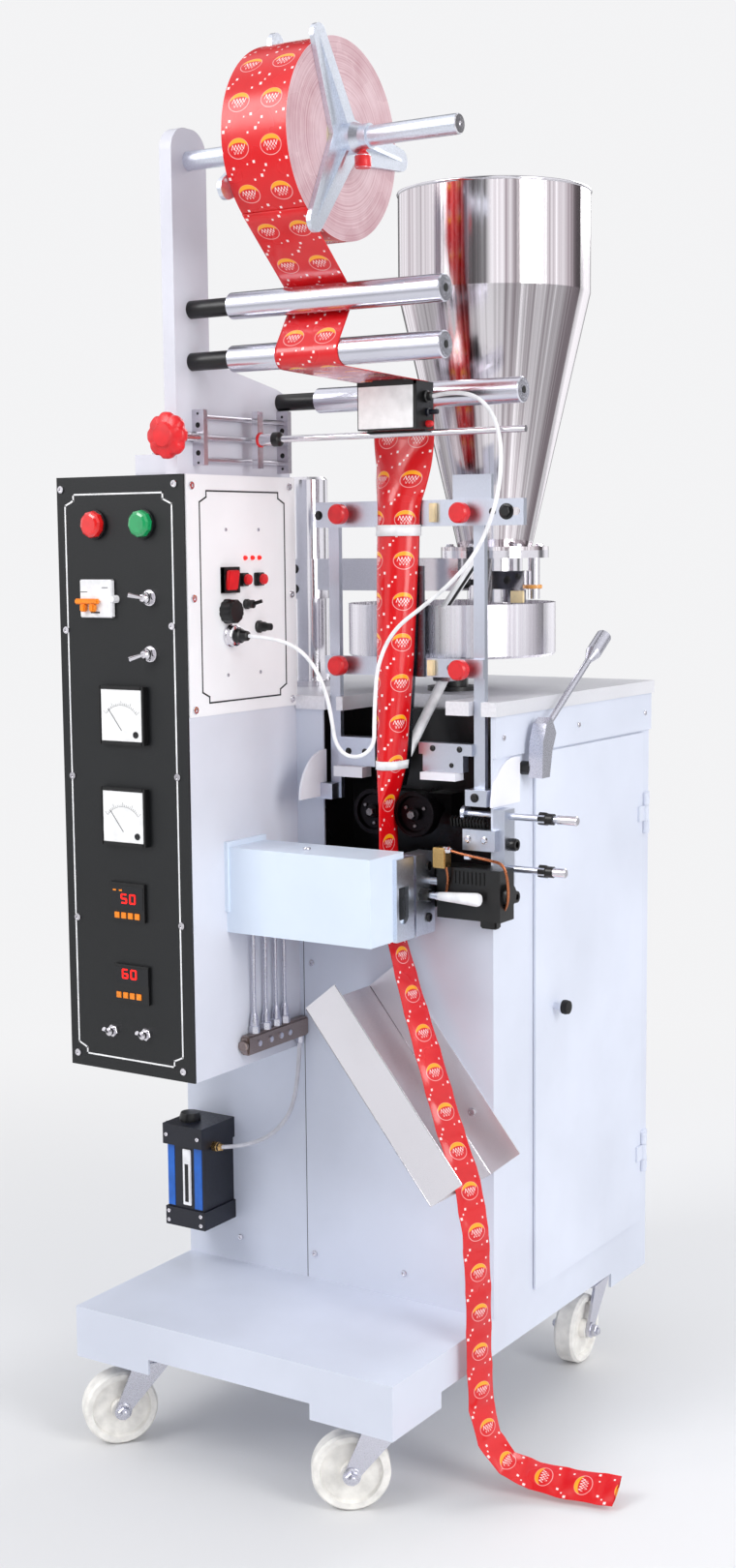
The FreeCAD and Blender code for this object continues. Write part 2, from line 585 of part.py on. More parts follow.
# Hopper, its post and its gate
post_low = "cabTop + topThick"
column = turned("XZ", [
    ("0", post_low), ("postFoot", post_low), ("postFoot", post_low + " + 8"), ("postRad", post_low + " + 8"),
    ("postRad", "clampLow"), ("postClamp", "clampLow"), ("postClamp", "clampTop"), ("postRad", "clampTop"),
    ("postRad", "postTop - 4"), ("postRad - 4", "postTop"), ("0", "postTop")], "V_Axis",
    at=("postX", "hopY", "0"))
arm = box("postX", "hopY - armDeep / 2", "armLow", "hopX - hopNeckRad - postX", "armDeep",
          "clampTop - armLow")
node("hopper_post", fuse(column, arm))
wall_low = "hopNeck + flangeThick / 2"
node("hopper", turned("XZ", [
    ("hopNeckRad", "hopNeck"), ("hopFlange", "hopNeck"), ("hopFlange", wall_low), ("hopNeckRad + 4", wall_low),
    ("hopRad", "hopBreak"), ("hopRad", "hopTop"), ("hopRad - hopSheet", "hopTop"),
    ("hopRad - hopSheet", "hopBreak"), ("hopNeckRad + 1", wall_low + " + 3")], "V_Axis",
    at=("hopX", "hopY", "0")))
gate_low = "hopNeck - flangeThick"
spout = turned("XZ", [
    ("0", "spoutLow"), ("spoutRad + 3", "spoutLow"), ("spoutRad + 3", gate_low), ("hopFlange", gate_low),
    ("hopFlange", "hopNeck"), ("0", "hopNeck")], "V_Axis", at=("hopX", "hopY", "0"))
gate = box("hopX + 15", "hopY - spoutRad", "gateLow", "gateWide", "spoutRad", "gateHigh")
pointer = box("hopX + 38", "hopY - spoutRad + 2", "gateLow - 18", "18", "16", "18")
gate_post = rod("Z", "hopX + hopFlange - gatePostRad", "hopY - 8", "panTop + 6", "gatePostRad",
                gate_low + " - panTop - 6")
node("hopper_gate", cut(fuse(spout, gate, pointer, gate_post),
                        rod("Z", "hopX", "hopY", "spoutLow - 1", "spoutRad", "hopNeck - spoutLow + 2")))


# Filler pan
pan_seat = "cabTop + topThick"
pan = turned("XZ", [
    ("0", pan_seat + " + 1"), ("panShaft", pan_seat + " + 1"), ("panShaft", "panLow"),
    ("panRad - 3", "panLow"), ("panRad", "panLow + 3"), ("panRad", "panTop"), ("panRad - panSheet", "panTop"),
    ("panRad - panSheet", "panLow + panFloor"), ("30", "panLow + panFloor"), ("12", "panLow + panFloor + 14"),
    ("0", "panLow + panFloor + 14")], "V_Axis", at=("panX", "panY", "0"))
node("filler_pan", pan)
node("pan_bearing", turned("XZ", [
    ("panShaft + runFit", pan_seat), ("panFlange", pan_seat),
    ("panFlange", pan_seat + " + 6"), ("panBearing", pan_seat + " + 6"),
    ("panBearing", pan_seat + " + 22"), ("panShaft + runFit", pan_seat + " + 22")],
    "V_Axis", at=("panX", "panY", "0")))


# Former frame
left_bar = "filmX - frameLeft"
right_bar = "filmX + frameRight"
cross_y = "barY - barThick"
bar_high = "frameTop + crossHigh - frameLow - 1"
slot_x = "filmX + crossRight - 30"
upper = cut(box("filmX - crossLeft", cross_y, "frameTop", "crossLeft + crossRight", "barThick", "crossHigh"),
            box(slot_x, cross_y + " - 1", "frameTop + 12", "20", "barThick + 2", "10"),
            rod("Y", slot_x, cross_y + " - 1", "frameTop + 17", "5", "barThick + 2"),
            rod("Y", slot_x + " + 20", cross_y + " - 1", "frameTop + 17", "5", "barThick + 2"))
bars = [
    box(left_bar + " - barWide / 2", "barY", "frameLow", "barWide", "barThick", bar_high),
    box(right_bar + " - barWide / 2", "barY", "frameLow + 4", "barWide", "barThick", bar_high + " - 4"),
    upper,
    box("filmX + 73", "barY", "frameTop + 4", "56", "barThick - 2", "60"),
    box(left_bar + " - 10", cross_y, "guideLow", "frameLeft + frameRight + 20", "barThick", "guideHigh"),
    box("bayLeft - 10.5", "cabFront - 12", "frameLow", "32", "12", "21"),
    box(left_bar + " - barWide / 2", "cabFront", "frameLow", "14", "barY - cabFront", "21"),
    box(right_bar + " - barWide / 2 - 2", "cabFront - 12", "frameLow + 4",
        "platWidth / 2 - wall - filmX - frameRight + 10", "24", "21"),
    box(left_bar + " + barWide / 2", "barY - 6", "bayMid + 117", "57.5", "20", "38"),
    box("filmX + 24", "barY - 6", "bayMid + 138", "frameRight - barWide / 2 - 24", "14", "15"),
    box("filmX + 30", "barY - 6", "bayMid + 116", "60", "14", "22"),
]
node("former_frame", fuse(*bars))
knob_parts = []
for x, z in (("filmX - 86", "frameTop + 17"), ("filmX + 96", "frameTop + 16"), ("filmX - 89", "guideLow + 12"),
             ("filmX + 94", "guideLow + 11")):
    knob_parts.append(fuse(rod("Y", x, cross_y + " - 10", z, "5", "10"),
                           rod("Y", x, cross_y + " - 20", z, "formKnob", "10"),
                           cone("Y", x, cross_y + " - 23", z, "formKnob - 2", "formKnob", "3")))
node("former_knobs", group(*knob_parts))


# Former and film
def fold(z, radius, nose, shift, inset, back):
    """Where the folded web runs at one height: ends of its two sides and its round nose in front.

    shift moves it sideways and inset inward; back, if given, carries the sides on to that Y."""
    cx = size("filmX") + shift
    half_turn = min(math.pi, size("filmWide") / radius) / 2
    side = max(size("filmWide") / 2 - radius * half_turn, 0.5)
    r = radius - inset
    x = r * math.sin(half_turn)
    y = nose + inset + r - r * math.cos(half_turn)
    end = y + side if back is None else back
    return [V(cx - x, end, z), V(cx - x, y, z), V(cx, nose + inset, z), V(cx + x, y, z), V(cx + x, end, z)]


def fold_ring(outer, inner):
    """The closed section of a folded sheet between its outer and its inner line."""
    o, i = outer, inner
    return Part.Wire([
        Part.LineSegment(o[0], o[1]).toShape(), Part.Arc(o[1], o[2], o[3]).toShape(),
        Part.LineSegment(o[3], o[4]).toShape(), Part.LineSegment(o[4], i[4]).toShape(),
        Part.LineSegment(i[4], i[3]).toShape(), Part.Arc(i[3], i[2], i[1]).toShape(),
        Part.LineSegment(i[1], i[0]).toShape(), Part.LineSegment(i[0], o[0]).toShape()])


def folded(rows, near, far, back):
    """A sheet that runs down through the rows, between two distances inside the film's outer face."""
    rings = [fold_ring(fold(*row, near, back), fold(*row, far, back)) for row in rows]
    return Part.makeLoft(rings, True, True)


NIP = size("nipRad")
SHIFT = size("webShift")
# height, radius of the round nose, its Y, and how far the web still stands to the right
FOLDS = [(1342.0, 20000.0, 246.4, SHIFT), (1300.0, 60.0, 236.0, SHIFT / 2), (1258.0, 33.0, 222.8, 0.0),
         (1243.0, 31.0, 221.6, 0.0), (1157.0, 28.6, 216.0, 0.0), (1057.0, 24.0, 211.0, 0.0),
         (985.0, 19.0, 206.0, 0.0), (918.0, 14.0, 200.0, 0.0), (892.0, 7.5, 195.3, 0.0),
         (872.0, NIP, 192.0, 0.0),
         (752.0, NIP, 192.0, 0.0)]

liner = size("filmThick") + size("filmGap")
rows = [row for row in FOLDS if size("formLow") <= row[0] <= size("formTop")]
back = size("barY") - size("barThick") - 0.3
tube = folded(rows, liner, liner + size("formSheet"), back)
rail = Part.makeBox(size("railWide"), 3, size("railTop") - size("guideLow"),
                    V(size("filmX") + size("railIn"), back - 3, size("guideLow")))
node("former_tube", made(tube.fuse(rail)))


def belt(circles, shift):
    """Outline points of a belt line moved sideways by shift: (circle centre, path radius, side)."""
    out = []
    for (ca, ra, sa), (cb, rb, sb) in zip(circles, circles[1:]):
        d = cb - ca
        theta = math.atan2(d.y, d.x) - math.asin((sb * rb - sa * ra) / d.Length)
        n = V(-math.sin(theta), math.cos(theta), 0)
        out.append((ca - n * (sa * ra - shift), cb - n * (sb * rb - shift), theta))
    return out


def belt_edges(circles, shift, start, end):
    """Lines and arcs of that belt line between a start and an end point."""
    runs = belt(circles, shift)
    edges = []
    here = start
    for i, (p, q, theta) in enumerate(runs):
        if i:
            c, r, side = circles[i]
            before = runs[i - 1][2]
            turn = (theta - before + math.pi) % (2 * math.pi) - math.pi
            mid = before + turn / 2
            n = V(-math.sin(mid), math.cos(mid), 0)
            edges.append(Part.Arc(here, c - n * (side * r - shift), p).toShape())
        edges.append(Part.LineSegment(p, q).toShape())
        here = q
    c, r, side = circles[-1]
    before = runs[-1][2]
    turn = (end - before + math.pi) % (2 * math.pi) - math.pi
    n = V(-math.sin(before + turn / 2), math.cos(before + turn / 2), 0)
    m = V(-math.sin(end), math.cos(end), 0)
    stop = c - m * (side * r - shift)
    edges.append(Part.Arc(here, c - n * (side * r - shift), stop).toShape())
    return edges, stop


film_t = size("filmThick")
gap = size("filmGap")
ring = size("rollRad") + gap + film_t / 2
circles = [
    (V(size("reelY"), size("reelZ"), 0), size("reelRad") + gap + film_t / 2, 1),
    (V(size("guideY"), size("guideZa"), 0), ring, -1),
    (V(size("guideY"), size("guideZb"), 0), ring, 1),
    (V(size("guideYc"), size("guideZc"), 0), ring, -1),
]
first, stop_a = belt_edges(circles, film_t / 2, None, -math.pi / 2)
second, stop_b = belt_edges(circles, -film_t / 2, None, -math.pi / 2)
low = V(0, FOLDS[0][0], 0)
ends = [V(stop_a.x, low.y, 0), V(stop_b.x, low.y, 0)]
tail = [Part.LineSegment(a, b).toShape() for a, b in ((stop_a, ends[0]), ends, (ends[1], stop_b))]
outline = first + tail + second
outline.append(Part.LineSegment(first[0].Vertexes[0].Point, second[0].Vertexes[0].Point).toShape())
band = Part.Face(Part.Wire(Part.__sortEdges__(outline))).extrude(V(0, 0, size("filmWide")))
turnm = FreeCAD.Placement(V(size("webX") - size("filmWide") / 2, 0, 0),
                          FreeCAD.Rotation(V(0, 1, 0), V(0, 0, 1), V(1, 0, 0), "XYZ")).toMatrix()
band = band.transformed(turnm)
back_y = (stop_a.x + stop_b.x) / 2
webs = [(FOLDS[0][0], FOLDS[0][1], back_y - film_t / 2, SHIFT)] + FOLDS[1:]
lower = folded(webs, 0.0, film_t, None)
node("film_web", made(band.fuse(lower)))


# Draw wheels
for name, s in (("left", "-1"), ("right", "1")):
    cx = "filmX + %s * (drawRad + drawGap / 2)" % s
    node("draw_wheel_" + name, turned("YZ", [
        ("0", "0"), ("0", "7"), ("2", "9"), ("9", "9"), ("9", "drawDish"), ("4", "drawDish + 2"),
        ("4", "drawRad - 1"), ("5", "drawRad"), ("3 + drawWide", "drawRad"), ("4 + drawWide", "drawRad - 1"),
        ("4 + drawWide", "15"), ("34 + drawWide", "15"), ("34 + drawWide", "drawShaft"),
        ("bayBack - drawFront + 4", "drawShaft"), ("bayBack - drawFront + 4", "0")], "H_Axis",
        at=(cx, "drawFront - 4", "drawZ")))


# Jaw cover, side bar and cheek plates
node("jaw_cover", fuse(
    box("ctrlRight", "coverFront", "coverLow", "coverRight - ctrlRight", "coverBack - coverFront",
        "coverTop - coverLow"),
    box("ctrlRight", "coverFront - 4", "coverLow + 27", "flangeWide", "coverBack - coverFront + 8",
        "coverTop - coverLow - 20"),
    box("ctrlRight", "coverBack", "coverLow", "22", "49", "92")))
bar_face = "platWidth / 2 + sideBarThick"
screws = []
for z, reach in (("screwHigh", "screwReach"), ("screwLow", "screwShort")):
    screws.append(nut("platWidth / 2 + 61", "screwY", z, "nutRad", "nutLong"))
    screws.append(rod("X", "platWidth / 2 + 61 + nutLong", "screwY", z, "nutRad - 2", "nutLong"))
    screws.append(rod("X", "platWidth / 2 - 26 + " + reach, "screwY", z, "screwRad + 1.5", "26"))
node("side_bar", fuse(
    box("platWidth / 2", "cabFront", "sideBarLow", "sideBarThick", "sideBarDeep", "sideBarHigh"),
    box("platWidth / 2 - 39", "cabFront - 10", "sideBarLow + 66", "47", "10", "27"),
    rod("X", "platWidth / 2 - 50", "screwY", "screwHigh", "screwRad", "screwReach + 50"),
    rod("X", "platWidth / 2 - 50", "screwY", "screwHigh", "screwRad + 6", "5"),
    rod("X", bar_face + " - 4", "screwY", "screwLow", "screwRad", "screwShort - sideBarThick + 4"), *screws))
right_cheek = common(rod("X", "platWidth / 2", "leverY - 26", "leverZ - 43", "60", "wall"),
                     box("platWidth / 2 - 1", "leverY - 86", "leverZ - 43", "wall + 2", "74", "61"))
left_cheek = cut(common(rod("X", "bayLeft", "cabFront + wall", "frameLow + 3", "62", "wall"),
                        box("bayLeft - 1", "cabFront - 60", "frameLow + 3", "wall + 2", "60 + wall", "63")),
                 box("bayLeft - 1", "cabFront - 12.3", "frameLow", "wall + 2", "20", "21.3"))
node("cheek_plates", group(
    right_cheek, left_cheek,
    box(left_bar + " + barWide / 2", "barY - 18", "bayMid + 103", "45", "22", "13.7"),
    box("filmX + 33", "barY - 18", "bayMid + 106", "52", "22", "9.7")))


# Chute
chute = padded("YZ", [[
    ("chuteFront", "0"), ("cabFront", "0"), ("cabFront", "chuteWall"), ("cabFront - chuteSheet", "chuteWall"),
    ("cabFront - chuteSheet", "chuteSheet"), ("chuteFront + chuteSheet", "chuteSheet"),
    ("chuteFront + chuteSheet", "chuteWall"), ("chuteFront", "chuteWall")]], "chuteLong")
chute.Placement = FreeCAD.Placement(V(), FreeCAD.Rotation(V(0, 1, 0), size("chuteAngle")))
put(chute, "chuteX - chuteWall * sin(chuteAngle)", "0", "chuteZ - chuteWall * cos(chuteAngle)")
node("chute", chute)


# Cords and bent pipes
def routed(points, diameter, label):
    """A cord of straight runs joined by tangent arcs."""
    edges = []
    radii = []
    here = points[0]
    for before, corner, after in zip(points, points[1:], points[2:]):
        a = before - corner
        b = after - corner
        run = min(a.Length, b.Length)
        a.normalize()
        b.normalize()
        half_turn = (math.pi - a.getAngle(b)) / 2
        back = 0.45 * run
        radii.append(back / math.tan(half_turn))
        into = corner + a * back
        out = corner + b * back
        middle = (a + b).normalize()
        reach = radii[-1] / math.cos(half_turn) - radii[-1]
        edges.append(Part.LineSegment(here, into).toShape())
        edges.append(Part.Arc(into, corner + middle * reach, out).toShape())
        here = out
    edges.append(Part.LineSegment(here, points[-1]).toShape())
    path = Part.Wire(edges)
    tangent = (points[1] - points[0]).normalize()
    ringw = Part.Wire(Part.Circle(points[0], tangent, diameter / 2).toShape())
    tube = path.makePipeShell([ringw], True, False)
    full = math.pi * diameter ** 2 / 4 * path.Length
    print("%s: length %.0f, least radius %.1f, volume ratio %.4f"
          % (label, path.Length, min(radii), tube.Volume / full))
    return tube


# Lubricator
deep = "cabFront - oilFront"
node("oiler", fuse(
    box("oilX - oilHalf", "oilFront", "oilLow", "2 * oilHalf", deep, "oilGlass - oilLow"),
    box("oilX - oilHalf + 3", "oilFront + 3", "oilGlass", "2 * oilHalf - 6", deep + " - 3",
        "oilHead - oilGlass"),
    box("oilX - oilHalf", "oilFront - 4", "oilHead", "2 * oilHalf", deep + " + 4", "oilTop - oilHead"),
    rod("Z", "oilX - 10", "oilFront + 28", "oilTop", "12", "11"),
    rod("X", "oilX + oilHalf", "oilFront + 24", "oilTop - 30", "fittingRad", "fittingLong"),
    rod("X", "oilX - oilHalf - 12", "oilFront + 20", "oilTop - 14", "9", "12")))


# Lubricant manifold and pipes
manifold = fuse(
    box("ctrlRight", "manifoldFront", "manifoldLow", "manifoldWide", "cabFront - manifoldFront",
        "manifoldHigh"),
    rod("Y", "ctrlRight + manifoldWide / 2", "manifoldFront - 5", "manifoldLow + 13", "7", "5"))
pipe_x = "ctrlRight + manifoldWide / 2"
pipe_low = "manifoldLow + manifoldHigh"
pipes = []
for y in ("manifoldFront + 23", "manifoldFront + 49", "manifoldFront + 72", "manifoldFront + 92"):
    pipes.append(rod("Z", pipe_x, y, pipe_low, "pipeRad + 3", "16"))
    pipes.append(cone("Z", pipe_x, y, pipe_low + " + 16", "pipeRad + 3", "pipeRad", "10"))
    pipes.append(rod("Z", pipe_x, y, pipe_low + " + 26", "pipeRad",
                     "coverLow - manifoldLow - manifoldHigh - 26"))
line_start = V(value(pipe_x), value("manifoldFront + 127"), size("manifoldLow"))
line_end = V(value("oilX + oilHalf + fittingLong"), value("oilFront + 24"), value("oilTop - 30"))
LINE = [line_start, line_start + V(-1, -2, -60), line_start + V(-16, -8, -122), line_end + V(48, 12, 5),
        line_end]
oil_line = made(routed(LINE, 2 * size("lineRad"), "oil line"))
node("lube_manifold", group(fuse(manifold, *pipes), oil_line))


# Clutch lever
node("lever_boss", rod("X", "platWidth / 2", "leverY", "leverZ", "leverPivot", "leverStand"))
lever_x = "platWidth / 2 + leverStand + 0.3"
hub = padded("YZ", [[("-6", "-12"), ("15", "-12"), ("22", "21"), ("33", "44"), ("20", "65"), ("6", "58"),
                     ("-4", "34")]], "leverHub", at=(lever_x, "leverY", "leverZ"))


def tilted(obj, along):
    """Turn a piece to the lever's slope and set it that far along the lever's axis."""
    obj.Placement = FreeCAD.Placement(V(), FreeCAD.Rotation(V(1, 0, 0), size("leverSlope") - 90))
    HOME[obj.Name] = (lever_x + " + leverHub / 2", "leverY + 24 + (%s) * cos(leverSlope * 1deg)" % along,
                      "leverZ + 52 + (%s) * sin(leverSlope * 1deg)" % along)
    for prop, text in zip("xyz", HOME[obj.Name]):
        bind(obj, "Placement.Base." + prop, text)
    return obj


stem = tilted(rod("Z", "0", "0", "0", "stemRad", "stemLong + 10"), "0")
shoulder = tilted(cone("Z", "0", "0", "0", "stemRad", "gripRad", "gripTaper"), "stemLong")
grip = tilted(rod("Z", "0", "0", "0", "gripRad", "gripLong"), "stemLong + gripTaper")
node("clutch_lever", fuse(hub, stem, shoulder, grip))


# Cross seal jaws
jaw_y = "coverBack + jawStand"
jaw_left = "filmX - nipRad - jawNip"
jaw_right = "filmX + nipRad + jawNip"
plate = cut(box("coverRight", "coverBack - 26", "carrierLow", "endPlate", "41", "carrierHigh"),
            box("coverRight - 1", "coverBack - 21", "carrierLow + 33", "endPlate + 2", "23", "36"),
            rod("X", "coverRight - 1", "coverBack - 9.5", "carrierLow + 33", "11.5", "endPlate + 2"))
node("seal_jaw_fixed", group(
    fuse(box("filmX - 53", "coverBack", "jawLow", "38", jaw_y + " + 4 - coverBack", "jawHigh"),
         box("filmX - 53", jaw_y, "jawLow", jaw_left + " - filmX + 53", "jawDeep", "jawHigh")),
    plate))
carrier_right = "carrierX + carrierThick"
handle_y = "coverBack + 34"
node("seal_jaw", fuse(
    box(jaw_right, jaw_y, "jawLow", "carrierX - filmX - nipRad - jawNip + 2", "jawDeep", "jawHigh"),
    box("carrierX", jaw_y, "carrierLow", "carrierThick", "carrierDeep", "carrierHigh"),
    rod("X", carrier_right, handle_y, "jawLow + 2", "handleRad", "24"),
    cone("X", carrier_right + " + 22", handle_y, "jawLow + 2", "handleRad + 1", "2 * handleRad", "56"),
    rod("X", carrier_right, "coverBack + 59", "jawLow + 16", "5", "42")))
drive_x = carrier_right + " + jawTravel + 6"
node("jaw_drive", cut(
    fuse(box(drive_x, "cabFront - driveDeep", "driveLow", "driveLong", "driveDeep", "driveHigh"),
         rod("X", drive_x + " + driveLong", "cabFront - driveDeep / 2", "driveLow + driveHigh / 2", "14",
             "6")),
    rod("X", drive_x + " - 1", "coverBack + 59", "jawLow + 16", "6", "52")))


# Pouch strip
def ribbon(stations, wide, thick):
    wires = []
    for c, w, n in stations:
        w = w.normalize() * (wide / 2)
        n = n.normalize() * (thick / 2)
        wires.append(wire_of([c - w - n, c + w - n, c + w + n, c - w + n]))
    return Part.makeLoft(wires, True, True)


MOUTH = size("filmX")
STRIP = [
    (V(MOUTH, 214, 744), V(0, 1, 0), V(1, 0, 0)), (V(MOUTH + 10, 213, 704), V(0, 1, 0), V(1, 0, 0.2)),
    (V(150, 209, 630), V(0.15, 1, 0), V(1, -0.15, 0.35)), (V(183, 202, 546), V(0.3, 1, 0), V(1, -0.3, 0.4)),
    (V(216.6, 191, 468), V(0.35, 1, 0), V(1, -0.35, 0.45)),
    (V(253.7, 176, 400), V(0.35, 1, 0), V(1, -0.35, 0.3)),
    (V(267.4, 172, 340), V(0.35, 1, 0), V(1, -0.35, 0.1)), (V(272, 171, 260), V(0.3, 1, 0), V(1, -0.3, 0)),
    (V(272, 172, 180), V(0.3, 1, 0), V(1, -0.3, 0)), (V(273, 176, 110), V(0.3, 1, 0), V(1, -0.3, 0.2)),
    (V(281, 182, 66), V(0.2, 1, 0.1), V(1, -0.2, 0.6)), (V(303, 189, 36), V(0, 1, 0.3), V(0.7, -0.2, 1)),
    (V(338, 198, 24), V(-0.1, 1, 0.5), V(0.2, -0.5, 1)), (V(384, 208, 20), V(-0.1, 1, 0.65), V(0, -0.65, 1)),
    (V(442, 222, 20), V(-0.1, 1, 0.7), V(0, -0.7, 1)),
]
node("pouch_strip", made(ribbon(STRIP, size("filmWide") / 2, size("pouchThick"))))


# Sensor cable
exit_x = value("sensorX + sensorWide + glandLong")
plug_x = value("photoFace + 30")
CABLE = [
    V(exit_x, 147, 1380), V(262, 145, 1385), V(301, 141, 1372), V(323, 138, 1336), V(326, 137, 1290),
    V(316, 138, 1243), V(293, 141, 1198), V(257, 144, 1160), V(211, 147, 1128), V(166, 149, 1099),
    V(143, 148, 1056), V(139, 148, 1010), V(138, 147.5, 978), V(138, 147, 955), V(121.7, 145, 938.7),
    V(98.7, 141, 938.7), V(85, 138, 956), V(84, 134, 981), V(80, 129, 1016), V(70, 121, 1049),
    V(50, 113, 1075), V(16, 105, 1088), V(plug_x, 102, 1090),
]
node("sensor_cable", made(routed(CABLE, 5.0, "sensor cable")))
node("sensor_plug", fuse(rod("X", "photoFace", "102", "1090", "14", "12"),
                         rod("X", "photoFace + 12", "102", "1090", "8.5", "18")))


# Instruments
node("panel_meters", group(*[box(x, "panelFace - meterDeep", z, "74", "meterDeep", "74")
                             for x, z in (("ctrlLeft + 67", "954"), ("ctrlLeft + 66", "824"))]))
lamps = []
for x in ("ctrlLeft + 63", "ctrlLeft + 141"):
    lamps.append(fuse(rod("Y", x, "panelFace - 4", "1232", "lampRad", "4"),
                      cone("Y", x, "panelFace - lampDeep", "1232", "lampRad - 8", "lampRad - 3",
                           "lampDeep - 4")))
node("panel_lamps", group(*lamps))
node("panel_displays", group(*[box(x, "panelFace - 4", z, "displayWide", "4", "displayHigh")
                               for x, z in (("ctrlLeft + 76", "725"), ("ctrlLeft + 80", "618"))]))
toggles = []
for x, z, rad in (("ctrlLeft + 148", "1140", "7"), ("ctrlLeft + 147.5", "1069.5", "7"),
                  ("ctrlLeft + 72", "577", "5"), ("ctrlLeft + 127", "578.5", "5")):
    toggles.append(rod("Y", x, "panelFace - 9", z, rad, "9"))
node("panel_switches", group(box("ctrlLeft + 41", "panelFace - 5", "1115", "51", "5", "47"), *toggles))
buttons = [rod("X", "photoFace", y, z, rad, long) for y, z, rad, long in (
    ("130", "1160.5", "8", "8"), ("164", "1160.5", "8", "8"), ("96", "1121", "15", "14"),
    ("137", "1129", "5", "12"), ("164", "1099", "6", "10"))]
node("photo_controls", group(box("photoFace", "84", "1144", "6", "33", "33"), *buttons))


# Check and write the sub-parts
doc.recompute()
os.makedirs("parts", exist_ok=True)
for obj in doc.Objects:
    if "Invalid" in obj.State or "Error" in obj.State:
        raise RuntimeError("%s (%s) failed: %s" % (obj.Label, obj.TypeId, obj.State))
for name, obj in NODES:
    if obj.Shape.isNull() or not obj.Shape.isValid():
        raise RuntimeError("bad shape: " + name)
    obj.Shape.exportStep("parts/%s.step" % name)
lows = [min(getattr(obj.Shape.BoundBox, side) for name, obj in NODES) for side in ("XMin", "YMin", "ZMin")]
highs = [max(getattr(obj.Shape.BoundBox, side) for name, obj in NODES) for side in ("XMax", "YMax", "ZMax")]
print(len(NODES), "sub-parts written", [round(v, 2) for v in lows], [round(v, 2) for v in highs])
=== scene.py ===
import math
import random

import bmesh
import bpy
from mathutils import Matrix, Vector


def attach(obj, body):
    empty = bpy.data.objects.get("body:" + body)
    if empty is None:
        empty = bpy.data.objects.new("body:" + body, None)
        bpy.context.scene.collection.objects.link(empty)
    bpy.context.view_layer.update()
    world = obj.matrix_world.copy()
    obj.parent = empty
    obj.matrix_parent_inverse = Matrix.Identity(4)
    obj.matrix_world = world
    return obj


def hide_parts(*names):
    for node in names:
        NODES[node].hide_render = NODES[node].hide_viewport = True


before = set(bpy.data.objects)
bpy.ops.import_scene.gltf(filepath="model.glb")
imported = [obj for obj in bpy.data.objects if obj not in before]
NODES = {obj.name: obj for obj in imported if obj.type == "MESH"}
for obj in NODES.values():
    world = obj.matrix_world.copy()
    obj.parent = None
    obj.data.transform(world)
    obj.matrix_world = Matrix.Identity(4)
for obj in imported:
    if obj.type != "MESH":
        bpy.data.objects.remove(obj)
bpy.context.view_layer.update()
OX, OY = 93.4, 323.4  # where the drawing's own zero lies: platform centre line and front edge


def P(x, y, z):
    """A point of the drawing, in millimetres, as a point of the frame, in metres."""
    return Vector(((x - OX) / 1000, (y - OY) / 1000, z / 1000))


# Camera at the photograph's place
cam = bpy.data.objects.new("camera", bpy.data.cameras.new("camera"))
bpy.context.scene.collection.objects.link(cam)
bpy.context.scene.camera = cam
cam.data.sensor_width = 36
cam.data.lens = 36 * 2072.25 / 1620
cam.data.clip_start, cam.data.clip_end = 0.05, 60
yaw, pitch, roll = map(math.radians, (32.90, 6.84, -0.54))
look = Vector((-math.sin(yaw) * math.cos(pitch), math.cos(yaw) * math.cos(pitch), -math.sin(pitch)))
side = Vector((math.cos(yaw), math.sin(yaw), 0))
over = side.cross(look)
right = side * math.cos(roll) + over * math.sin(roll)
up = over * math.cos(roll) - side * math.sin(roll)
cam.matrix_world = Matrix.Translation(P(1487.7, -1954.5, 1205.0)) @ Matrix((right, up, -look)).transposed().to_4x4()


# Materials
def linear(c):
    """A screen colour as the shader's own."""
    return tuple(v / 12.92 if v <= 0.04045 else ((v + 0.055) / 1.055) ** 2.4 for v in c) + (1.0,)


